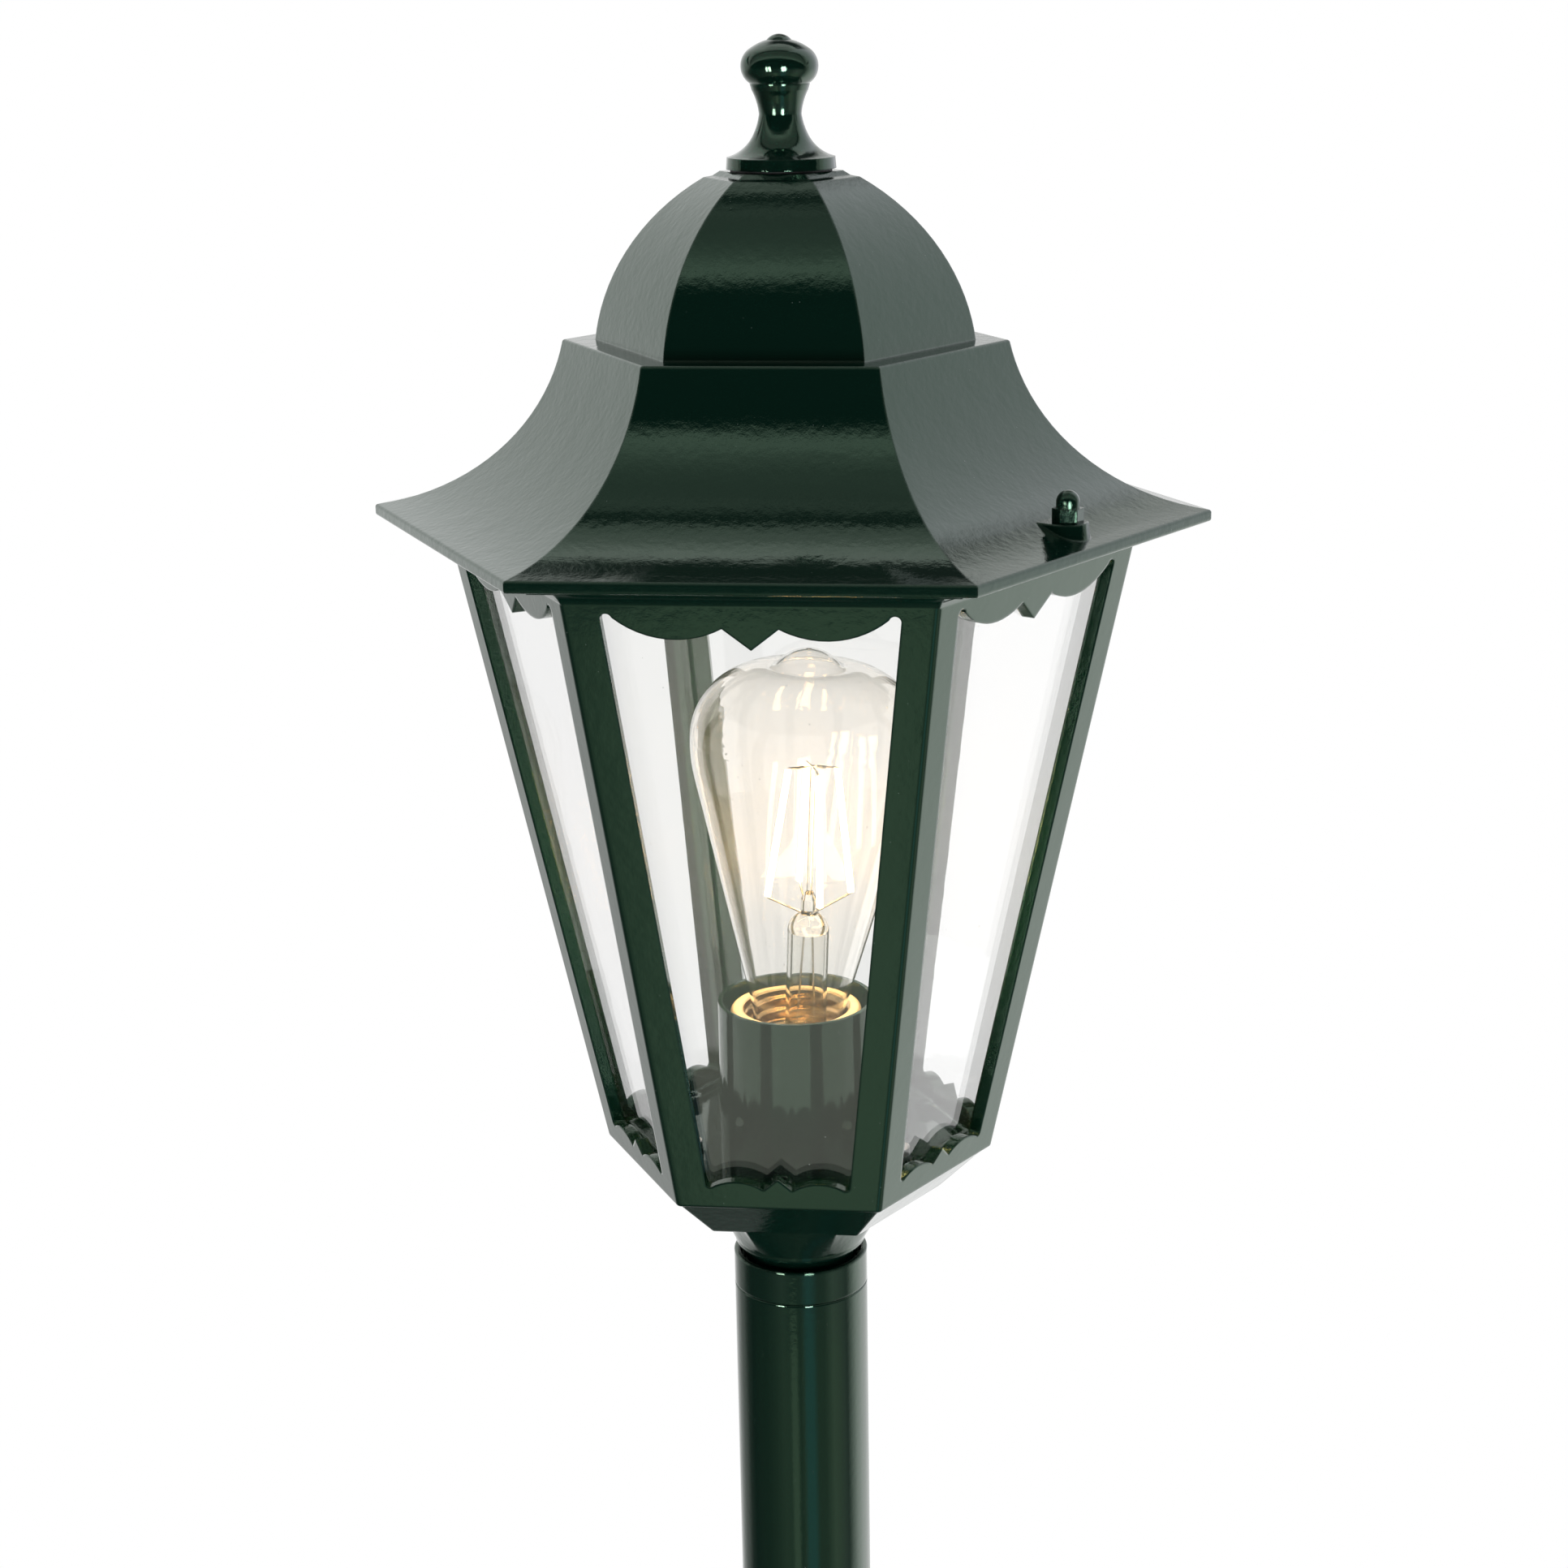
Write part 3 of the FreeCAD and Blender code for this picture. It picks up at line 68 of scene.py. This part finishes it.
# Lamps: turns round the post in degrees, sizes in metres, powers in watts
LAMP_AWAY = 2.4
LAMP_TALL = 1.05
LOW_LAMP = 0.70
HIGH_LAMP = 1.33
LEFT_TURN = -117.0
RIGHT_TURN = -68.0
RIGHT_GLINT_TURN = -70.0
LIGHT = {"wide": 0.17, "power": 21.0}
GLINT = {"wide": 0.50, "power": 90.0}
WHITE_LAMP = WHITE[:3]
COOL_LAMP = (0.9, 1.0, 1.04)
ROOF_MIRRORS = ("finial", "cap_nut_right", "cap_nut_left")
POST_MIRRORS = ("post_coupler", "post_tube")

# The photo's viewpoint, worked out from the lantern's hexagon
CAMERA_TURN = math.radians(5.852)
CAMERA_RISE = math.radians(17.482)
CAMERA_ROLL = math.radians(-0.697)
CAMERA_PLACE = Vector((0.09208, -0.75162, 1.26997))
CAMERA_LENS = 65.65
CAMERA_SHIFT = (-0.0405, 0.0428)

# Levels round the object, set to give the photo's reflections: (degrees, grey level or colour).
# BANDS rise from the front at 0 over the top at 90 to the back at 180.
# LOW_RING and FRONT_STREAKS go round the post, with the front at -90 and the right at 0.
BANDS = (
    (-180, 1.0), (-150, 1.0), (-120, 0.6), (-90, 0.3), (-60, 0.06), (-30, 0.02),
    (43, 0.02), (47, 0.5), (51, 1.3), (57, 1.05), (62, 0.68), (75, 0.5), (91, 0.45), (94, 0.07), (98, 0.06),
    (101, 0.74), (126, 1.42), (128.5, 0.08), (142, 0.05), (145, 0.5), (147.5, 0.6), (150, 1.1), (180, 1.1),
)
LOW_RING = (
    (-180, 0.06), (-150, 0.10), (-135, 0.2), (-117, 0.38), (-98, 0.2), (-86, 0.25), (-72, (0.32, 0.6, 0.74)),
    (-55, 0.28), (-44, 0.3), (-28, 0.68), (-8, 0.45), (2, 0.28), (14, 1.2), (26, 1.85), (42, 1.85),
    (62, 1.35), (90, 1.25), (116, 1.0), (132, 0.82), (147, 0.52), (155, 0.48), (168, 0.15), (180, 0.06),
)
FRONT_STREAKS = (
    (-180, 0.1), (-150, 0.16), (-132, 0.3), (-117, 0.5), (-105, 0.5), (-101.5, 1.0), (-93.5, 1.0),
    (-91, 0.45), (-87, 0.32), (-82, 0.5), (-77, (0.42, 0.78, 1.08)), (-65, (0.42, 0.78, 1.08)),
    (-57, 0.42), (-44, 0.42), (-28, 0.9), (-8, 0.6), (180, 0.1),
)


def add(tree, kind, inputs=(), **settings):
    """A node of this kind. Its inputs are set to values or linked to other nodes' outputs."""
    node = tree.nodes.new(kind)
    for key, value in settings.items():
        setattr(node, key, value)
    for key, value in dict(inputs).items():
        if isinstance(value, bpy.types.NodeSocket):
            tree.links.new(value, node.inputs[key])
        else:
            node.inputs[key].default_value = value
    return node


def maths(tree, operation, first, second=0.0, third=0.0):
    """The result of one sum, clamped only where the operation does so itself."""
    node = add(tree, "ShaderNodeMath", {0: first, 1: second, 2: third}, operation=operation)
    return node.outputs[0]


def blend(tree, factor, first, second):
    """A colour between two colours."""
    node = add(tree, "ShaderNodeMix", {"Factor": factor}, data_type="RGBA")
    for name, value in (("A", first), ("B", second)):
        socket = [s for s in node.inputs if s.name == name and s.type == "RGBA"][0]
        if isinstance(value, bpy.types.NodeSocket):
            tree.links.new(value, socket)
        else:
            socket.default_value = value
    return [s for s in node.outputs if s.type == "RGBA"][0]


def step(tree, value, low, high):
    """0 below low, 1 above high and a smooth rise between."""
    node = add(tree, "ShaderNodeMapRange",
               {"Value": value, "From Min": low, "From Max": high, "To Min": 0.0, "To Max": 1.0},
               interpolation_type="SMOOTHSTEP")
    return node.outputs["Result"]


def noise(tree, place, scale, detail=2.0, rough=0.5):
    """A noise value about 0.5."""
    node = add(tree, "ShaderNodeTexNoise",
               {"Vector": place, "Scale": scale, "Detail": detail, "Roughness": rough})
    return node.outputs["Fac"]


def material(name):
    """An empty material and its tree."""
    made = bpy.data.materials.new(name)
    made.use_nodes = True
    made.node_tree.nodes.clear()
    return made, made.node_tree


def object_place(tree):
    """The place on the object, in metres."""
    return add(tree, "ShaderNodeTexCoord").outputs["Object"]


def stretched(tree, place, scale):
    """The place with its axes scaled apart."""
    return add(tree, "ShaderNodeMapping", {"Vector": place, "Scale": scale}).outputs["Vector"]


def output(tree, shader):
    """This shader on the surface."""
    add(tree, "ShaderNodeOutputMaterial", {"Surface": shader})


def level_part(tree, vector):
    """The vector with its height taken out."""
    node = add(tree, "ShaderNodeVectorMath", {0: vector, 1: (1.0, 1.0, 0.0)}, operation="MULTIPLY")
    return node.outputs["Vector"]


def darker(colour, share):
    """This share of a colour."""
    return [channel * share for channel in colour[:3]] + [1.0]


def seen_plainly(tree, path):
    """1 for what the camera sees straight or through glass."""
    return maths(tree, "MAXIMUM", path.outputs["Is Camera Ray"], path.outputs["Is Transmission Ray"])


def thread_wave(tree, place, pitch):
    """A sine that winds about the Z axis and rises by the pitch, in metres, each turn."""
    axes = add(tree, "ShaderNodeSeparateXYZ", {"Vector": place})
    turn = maths(tree, "ARCTAN2", axes.outputs["Y"], axes.outputs["X"])
    phase = maths(tree, "MULTIPLY_ADD", axes.outputs["Z"], 2.0 * math.pi / pitch, turn)
    return maths(tree, "SINE", phase)


def specks(tree, place, scale, size):
    """1 in small sparse spots."""
    cells = add(tree, "ShaderNodeTexVoronoi", {"Vector": place, "Scale": scale})
    near = maths(tree, "LESS_THAN", cells.outputs["Distance"], size)
    chosen = add(tree, "ShaderNodeSeparateColor", {"Color": cells.outputs["Color"]})
    few = maths(tree, "GREATER_THAN", chosen.outputs["Red"], 0.72)
    return maths(tree, "MULTIPLY", near, few)


def rounded(tree, radius, samples=3):
    """Normals that round the edges."""
    return add(tree, "ShaderNodeBevel", {"Radius": radius}, samples=samples).outputs["Normal"]


def turned_end(tree, place, top, radius):
    """How far the rim of a tube that ends at this height drops, in units of the coat's relief."""
    rise = add(tree, "ShaderNodeSeparateXYZ", {"Vector": place}).outputs["Z"]
    share = add(tree, "ShaderNodeMapRange", {"Value": rise, "From Min": top - radius, "From Max": top})
    square = maths(tree, "MULTIPLY", share.outputs["Result"], share.outputs["Result"])
    arc = maths(tree, "SQRT", maths(tree, "SUBTRACT", 1.0, square))
    return maths(tree, "MULTIPLY", maths(tree, "SUBTRACT", arc, 1.0), radius / COAT_RELIEF)


def green_coat(name, wave_height, skin_height, edge, samples=3, end=None):
    """Glossy sprayed coat: a slow wave, orange peel, fine grain and dust specks.

    Heights are in units of the coat's relief. The edge is the radius of the rounded edges in metres, and end
    the height and radius of a turned rim.
    """
    made, tree = material(name)
    place = object_place(tree)
    wave = noise(tree, place, 110.0, 2.0)
    skin = noise(tree, place, 520.0, 2.0)
    grain = noise(tree, place, 3000.0, 1.0)
    dust = specks(tree, place, 420.0, 0.045)
    height = maths(tree, "MULTIPLY", wave, wave_height)
    height = maths(tree, "MULTIPLY_ADD", skin, skin_height, height)
    height = maths(tree, "MULTIPLY_ADD", grain, 0.25 * skin_height, height)
    height = maths(tree, "MULTIPLY_ADD", dust, 0.15, height)
    if end:
        height = maths(tree, "ADD", height, turned_end(tree, place, *end))
    bump = add(tree, "ShaderNodeBump",
               {"Strength": 1.0, "Distance": COAT_RELIEF, "Height": height,
                "Normal": rounded(tree, edge, samples)})
    tone = noise(tree, place, 24.0, 3.0)
    colour = blend(tree, tone, COAT, COAT_PALE)
    colour = blend(tree, maths(tree, "MULTIPLY", dust, 0.55), colour, DUST)
    gloss = maths(tree, "MULTIPLY_ADD", noise(tree, place, 900.0), 0.05, 0.035)
    shader = add(tree, "ShaderNodeBsdfPrincipled",
                 {"Base Color": colour, "Roughness": gloss, "IOR": 1.55,
                  "Specular Tint": COAT_SHEEN, "Normal": bump.outputs["Normal"]})
    output(tree, shader.outputs[0])
    return made


def clear_glass(name, tint, ior, waves, haze):
    """Clear glass with a slight wave and a breath of dust, which lets shadow rays through."""
    made, tree = material(name)
    place = object_place(tree)
    height = maths(tree, "MULTIPLY_ADD", noise(tree, place, 140.0, 1.0), 1.0,
                   noise(tree, place, 35.0, 1.0))
    bump = add(tree, "ShaderNodeBump",
               {"Strength": 1.0, "Distance": waves, "Height": height})
    glass = add(tree, "ShaderNodeBsdfGlass",
                {"Color": tint, "Roughness": 0.0, "IOR": ior, "Normal": bump.outputs["Normal"]})
    dust = add(tree, "ShaderNodeBsdfDiffuse", {"Color": GLASS_DUST})
    film = maths(tree, "MULTIPLY", noise(tree, place, 60.0, 4.0), haze)
    film = maths(tree, "MULTIPLY_ADD", specks(tree, place, 220.0, 0.05), 0.25, film)
    dusty = add(tree, "ShaderNodeMixShader",
                {0: film, 1: glass.outputs[0], 2: dust.outputs[0]})
    path = add(tree, "ShaderNodeLightPath")
    passing = maths(tree, "MAXIMUM", path.outputs["Is Shadow Ray"], path.outputs["Is Diffuse Ray"])
    clear = add(tree, "ShaderNodeBsdfTransparent", {"Color": GLASS_SHADOW})
    mixed = add(tree, "ShaderNodeMixShader",
                {0: passing, 1: dusty.outputs[0], 2: clear.outputs[0]})
    output(tree, mixed.outputs[0])
    return made


def metal(name, colour, rough, grooves, pitch=None):
    """Plated or bare metal with fine tool marks. A pitch in metres adds a rolled thread."""
    made, tree = material(name)
    place = object_place(tree)
    marks = noise(tree, stretched(tree, place, (1.0, 1.0, 9.0)), grooves, 3.0)
    bump = add(tree, "ShaderNodeBump",
               {"Strength": 1.0, "Distance": 0.000012, "Height": marks,
                "Normal": rounded(tree, 0.0002)})
    normal = bump.outputs["Normal"]
    if pitch:
        thread = add(tree, "ShaderNodeBump",
                     {"Strength": 1.0, "Distance": pitch * 0.18,
                      "Height": thread_wave(tree, place, pitch), "Normal": normal})
        normal = thread.outputs["Normal"]
    worn = blend(tree, noise(tree, place, 130.0, 3.0), colour, darker(colour, 0.86))
    shader = add(tree, "ShaderNodeBsdfPrincipled",
                 {"Base Color": worn, "Metallic": 1.0,
                  "Roughness": maths(tree, "MULTIPLY_ADD", marks, 0.15, rough), "Normal": normal})
    output(tree, shader.outputs[0])
    return made


def moulded(name, colour, rough, grain):
    """Glazed, moulded or rubber piece with a fine grain and slight stains."""
    made, tree = material(name)
    place = object_place(tree)
    bump = add(tree, "ShaderNodeBump",
               {"Strength": 1.0, "Distance": 0.000015, "Height": noise(tree, place, grain, 3.0),
                "Normal": rounded(tree, 0.0003)})
    stained = blend(tree, noise(tree, place, 180.0, 4.0), colour, darker(colour, 0.82))
    shader = add(tree, "ShaderNodeBsdfPrincipled",
                 {"Base Color": stained, "Roughness": rough, "Normal": bump.outputs["Normal"]})
    output(tree, shader.outputs[0])
    return made


def holder(name, bore, pitch):
    """Glazed lampholder, its white body tinted cream as painted warm light from the bulb, with a rolled
    brass thread inside its bore's radius.
    """
    made, tree = material(name)
    place = object_place(tree)
    out = add(tree, "ShaderNodeVectorMath", {0: level_part(tree, place)}, operation="LENGTH")
    inside = maths(tree, "LESS_THAN", out.outputs["Value"], bore)
    grain = noise(tree, place, 700.0, 3.0)
    height = maths(tree, "MULTIPLY", thread_wave(tree, place, pitch), inside)
    height = maths(tree, "MULTIPLY_ADD", grain, 0.06, height)
    bump = add(tree, "ShaderNodeBump",
               {"Strength": 1.0, "Distance": pitch * 0.2, "Height": height, "Normal": rounded(tree, 0.0003)})
    # The cream outside the bore is painted warm light from the bulb on a white body
    colour = blend(tree, inside, HOLDER_WARM_LIT, HOLDER_BRASS)
    colour = blend(tree, noise(tree, place, 180.0, 4.0), colour, HOLDER_STAIN)
    shader = add(tree, "ShaderNodeBsdfPrincipled",
                 {"Base Color": colour, "Metallic": inside,
                  "Roughness": 0.2, "Normal": bump.outputs["Normal"]})
    output(tree, shader.outputs[0])
    return made


def lit_filament(name, strength):
    """Glowing rods with the row of small chips showing as a ripple."""
    made, tree = material(name)
    place = object_place(tree)
    axes = add(tree, "ShaderNodeSeparateXYZ", {"Vector": place})
    ripple = maths(tree, "SINE", maths(tree, "MULTIPLY", axes.outputs["Z"], 2.0 * math.pi / CHIP_PITCH))
    glow = maths(tree, "MULTIPLY_ADD", ripple, 0.12 * strength, strength)
    shader = add(tree, "ShaderNodeEmission", {"Color": WARM, "Strength": glow})
    output(tree, shader.outputs[0])
    return made


def dress(made, *names):
    """This material on these nodes."""
    for name in names:
        NODES[name].data.materials.clear()
        NODES[name].data.materials.append(made)


def soften():
    """Smooth faces with edges kept sharp above an angle, which is wider for the blown bulb."""
    for name, node in NODES.items():
        node.data.shade_smooth()
        node.data.set_sharp_from_angle(angle=BLOWN_ANGLE if name == "bulb_glass" else SHARP_ANGLE)


def dress_pieces():
    """A material on every node."""
    dress(green_coat("green_coat", 1.0, 0.6, 0.0008), "lantern_base", "roof", "foot")
    dress(green_coat("green_coat_cage", 0.5, 0.2, 0.0009, samples=8), "lantern_cage")
    dress(green_coat("green_coat_turned", 0.35, 0.25, 0.0004), "lampholder_cup", "finial")
    dress(green_coat("green_coat_tube", 0.35, 0.25, 0.0003, end=(TUBE_TOP, TUBE_RIM)), "post_tube")
    dress(green_coat("green_coat_coupler", 0.35, 0.25, 0.0008), "post_coupler")
    dress(green_coat("green_coat_nuts", 0.35, 0.2, 0.0009), "cap_nut_right", "cap_nut_left")
    panes = [name for name in NODES if name.startswith("pane_")]
    dress(clear_glass("pane_glass", PANE_TINT, 1.5, 0.000004, 0.006), *panes)
    dress(clear_glass("bulb_glass", BULB_TINT, 1.42, 0.000003, 0.008), "bulb_glass")
    dress(clear_glass("stem_glass", STEM_TINT, 1.5, 0.00004, 0.004), "bulb_stem")
    dress(metal("steel", STEEL, 0.22, 900.0), "foot_grub_screws", "base_screws",
          "nipple_washer", "nipple_locknut", "roof_studs", "finial_nut")
    dress(metal("threaded_steel", STEEL, 0.22, 900.0, NIPPLE_PITCH), "nipple")
    dress(metal("brass", BRASS, 0.16, 700.0), "lampholder_contact", "bulb_tip_contact")
    dress(metal("threaded_brass", BRASS, 0.16, 700.0, CAP_PITCH), "lampholder_shell")
    dress(metal("nickel", NICKEL, 0.12, 800.0), "bulb_wires")
    dress(metal("threaded_nickel", NICKEL, 0.12, 800.0, CAP_PITCH), "bulb_cap")
    dress(holder("holder", HOLDER_BORE, CAP_PITCH), "lampholder_body")
    dress(moulded("black_insulator", INSULATOR, 0.2, 600.0), "bulb_insulator")
    dress(moulded("seal_rubber", RUBBER, 0.6, 1500.0), "finial_seal")
    dress(lit_filament("filament", 380.0), "bulb_filaments")


def ramp(tree, angle, levels):
    """A colour from an angle in radians, by a list of (degrees, grey level or colour)."""
    share = maths(tree, "MULTIPLY_ADD", angle, 0.5 / math.pi, 0.5)
    node = add(tree, "ShaderNodeValToRGB", {"Fac": share})
    stops = node.color_ramp.elements
    for index, (degrees, level) in enumerate(levels):
        stop = stops[index] if index < len(stops) else stops.new(1.0)
        stop.position = (degrees + 180.0) / 360.0
        stop.color = (*(level if isinstance(level, tuple) else (level,) * 3), 1.0)
    return node.outputs["Color"]


def light_world():
    """White behind and beside the object, with dark and pale bands overhead and dark in front."""
    world = bpy.data.worlds.new("studio")
    bpy.context.scene.world = world
    world.use_nodes = True
    tree = world.node_tree
    tree.nodes.clear()
    way = add(tree, "ShaderNodeTexCoord").outputs["Generated"]
    axes = add(tree, "ShaderNodeSeparateXYZ", {"Vector": way})
    across, along, up = axes.outputs["X"], axes.outputs["Y"], axes.outputs["Z"]
    over = maths(tree, "ARCTAN2", up, maths(tree, "MULTIPLY", along, -1.0))
    creases = noise(tree, stretched(tree, way, (3.0, 46.0, 46.0)), 1.0, 3.0)
    ripples = noise(tree, stretched(tree, way, (60.0, 110.0, 110.0)), 1.0, 4.0, 0.6)
    folds = maths(tree, "MULTIPLY_ADD", creases, 1.5, maths(tree, "MULTIPLY_ADD", ripples, 1.8, -0.7))
    bands = add(tree, "ShaderNodeVectorMath", {0: ramp(tree, over, BANDS), 1: folds}, operation="MULTIPLY")
    level = add(tree, "ShaderNodeVectorMath", {0: level_part(tree, way)}, operation="NORMALIZE")
    behind = add(tree, "ShaderNodeSeparateXYZ", {"Vector": level.outputs["Vector"]}).outputs["Y"]
    right_wall = maths(tree, "MULTIPLY", step(tree, across, 0.2, 0.36), step(tree, behind, 0.18, 0.36))
    high_back = step(tree, over, math.radians(124.0), math.radians(130.0))
    leftward = maths(tree, "MULTIPLY_ADD", high_back, -0.14, across)
    left_wall = maths(tree, "MULTIPLY", step(tree, leftward, -0.3, -0.46), step(tree, behind, 0.38, 0.56))
    walls = maths(tree, "MAXIMUM", right_wall, left_wall)
    wall = blend(tree, step(tree, across, -0.1, 0.2), PAPER, PAPER_COOL)
    high = blend(tree, walls, bands.outputs["Vector"], wall)
    low = ramp(tree, maths(tree, "ARCTAN2", along, across), LOW_RING)
    lit = blend(tree, step(tree, up, -0.12, -0.38), high, low)
    path = add(tree, "ShaderNodeLightPath")
    shown = blend(tree, seen_plainly(tree, path), lit, WHITE)
    back = add(tree, "ShaderNodeBackground", {"Color": shown, "Strength": 1.0})
    add(tree, "ShaderNodeOutputWorld", {"Surface": back.outputs[0]})


def lay_floor():
    """A pale round floor that keeps the shadow near the foot, and in gloss shows its bands dimmed towards
    the post as painted shade.
    """
    bpy.ops.mesh.primitive_circle_add(vertices=128, radius=FLOOR_RADIUS, fill_type="NGON")
    floor = bpy.context.object
    floor.name = "floor"
    floor.location.z = -FLOOR_DROP
    made, tree = material("floor")
    place = object_place(tree)
    far = add(tree, "ShaderNodeVectorMath", {0: place}, operation="LENGTH").outputs["Value"]
    path = add(tree, "ShaderNodeLightPath")
    share = maths(tree, "MULTIPLY_ADD", step(tree, far, 0.25, 0.9), 0.4, 0.6)
    plain = maths(tree, "MULTIPLY", seen_plainly(tree, path), share)
    mirrored = path.outputs["Is Glossy Ray"]
    shown = maths(tree, "MAXIMUM", mirrored, plain)
    axes = add(tree, "ShaderNodeSeparateXYZ", {"Vector": place})
    turn = maths(tree, "ARCTAN2", axes.outputs["Y"], axes.outputs["X"])
    streaks = ramp(tree, turn, FRONT_STREAKS)
    front = add(tree, "ShaderNodeVectorMath", {0: streaks, 1: FLOOR_FRONT}, operation="MULTIPLY")
    behind = ramp(tree, turn, LOW_RING)
    around = blend(tree, step(tree, axes.outputs["Y"], -0.5, 0.0), front.outputs["Vector"], behind)
    # In gloss the floor dims to 0.18 towards the post: painted shade of the object on the floor, seen in
    # reflections
    painted_shade_by_distance = maths(tree, "MULTIPLY_ADD", step(tree, far, 0.3, 1.15), 0.82, 0.18)
    dimmed = add(tree, "ShaderNodeVectorMath", {0: around, "Scale": painted_shade_by_distance}, operation="SCALE")
    glow = blend(tree, mirrored, WHITE, dimmed.outputs["Vector"])
    paper = blend(tree, noise(tree, place, 40.0, 3.0), *FLOOR_PAPER)
    matt = add(tree, "ShaderNodeBsdfDiffuse", {"Color": paper})
    pale = add(tree, "ShaderNodeEmission", {"Color": glow, "Strength": 1.0})
    mixed = add(tree, "ShaderNodeMixShader", {0: shown, 1: matt.outputs[0], 2: pale.outputs[0]})
    output(tree, mixed.outputs[0])
    floor.data.materials.append(made)


def hang_lamp(name, azimuth, height, colour, wide, power, mirrors=()):
    """A soft box that faces the post. It lights all pieces, or only shows as glints in the mirrors named."""
    data = bpy.data.lights.new(name, "AREA")
    data.shape = "RECTANGLE"
    data.size = wide
    data.size_y = LAMP_TALL
    data.energy = power
    data.color = colour
    lamp = bpy.data.objects.new(name, data)
    bpy.context.scene.collection.objects.link(lamp)
    turn = math.radians(azimuth)
    lamp.location = (LAMP_AWAY * math.cos(turn), LAMP_AWAY * math.sin(turn), height)
    inward = Vector((0.0, 0.0, height)) - lamp.location
    lamp.rotation_euler = inward.to_track_quat("-Z", "Y").to_euler()
    lamp.visible_camera = False
    lamp.visible_transmission = False
    lamp.visible_glossy = bool(mirrors)
    lamp.visible_diffuse = not mirrors
    if mirrors:
        receivers = bpy.data.collections.new(name + "_mirrors")
        for key in mirrors:
            receivers.objects.link(NODES[key])
        lamp.light_linking.receiver_collection = receivers


def set_camera():
    """The photo's viewpoint, in front and a little above."""
    level = Vector((math.cos(CAMERA_TURN), math.sin(CAMERA_TURN), 0.0))
    outward = Vector((math.sin(CAMERA_TURN), -math.cos(CAMERA_TURN), 0.0))
    back = outward * math.cos(CAMERA_RISE) + Vector((0.0, 0.0, math.sin(CAMERA_RISE)))
    upright = back.cross(level)
    right = level * math.cos(CAMERA_ROLL) + upright * math.sin(CAMERA_ROLL)
    up = upright * math.cos(CAMERA_ROLL) - level * math.sin(CAMERA_ROLL)
    data = bpy.data.cameras.new("camera")
    data.sensor_width = 36.0
    data.lens = CAMERA_LENS
    data.shift_x, data.shift_y = CAMERA_SHIFT
    data.clip_start = 0.01
    data.clip_end = 50.0
    camera = bpy.data.objects.new("camera", data)
    bpy.context.scene.collection.objects.link(camera)
    turned = Matrix((right, up, back)).transposed().to_4x4()
    camera.matrix_world = Matrix.Translation(CAMERA_PLACE) @ turned
    bpy.context.scene.camera = camera


soften()
dress_pieces()
light_world()
lay_floor()
hang_lamp("lamp_left", LEFT_TURN, LOW_LAMP, WHITE_LAMP, **LIGHT)
hang_lamp("lamp_right", RIGHT_TURN, LOW_LAMP, WHITE_LAMP, **LIGHT)
hang_lamp("shine_left", LEFT_TURN, LOW_LAMP, WHITE_LAMP, mirrors=ROOF_MIRRORS, **GLINT)
hang_lamp("shine_right", RIGHT_GLINT_TURN, LOW_LAMP, COOL_LAMP, mirrors=ROOF_MIRRORS, **GLINT)
hang_lamp("rim_left", LEFT_TURN, HIGH_LAMP, WHITE_LAMP, mirrors=POST_MIRRORS, **GLINT)
hang_lamp("rim_right", RIGHT_GLINT_TURN, HIGH_LAMP, COOL_LAMP, mirrors=POST_MIRRORS, **GLINT)
set_camera()
bpy.context.scene.view_settings.view_transform = "Standard"
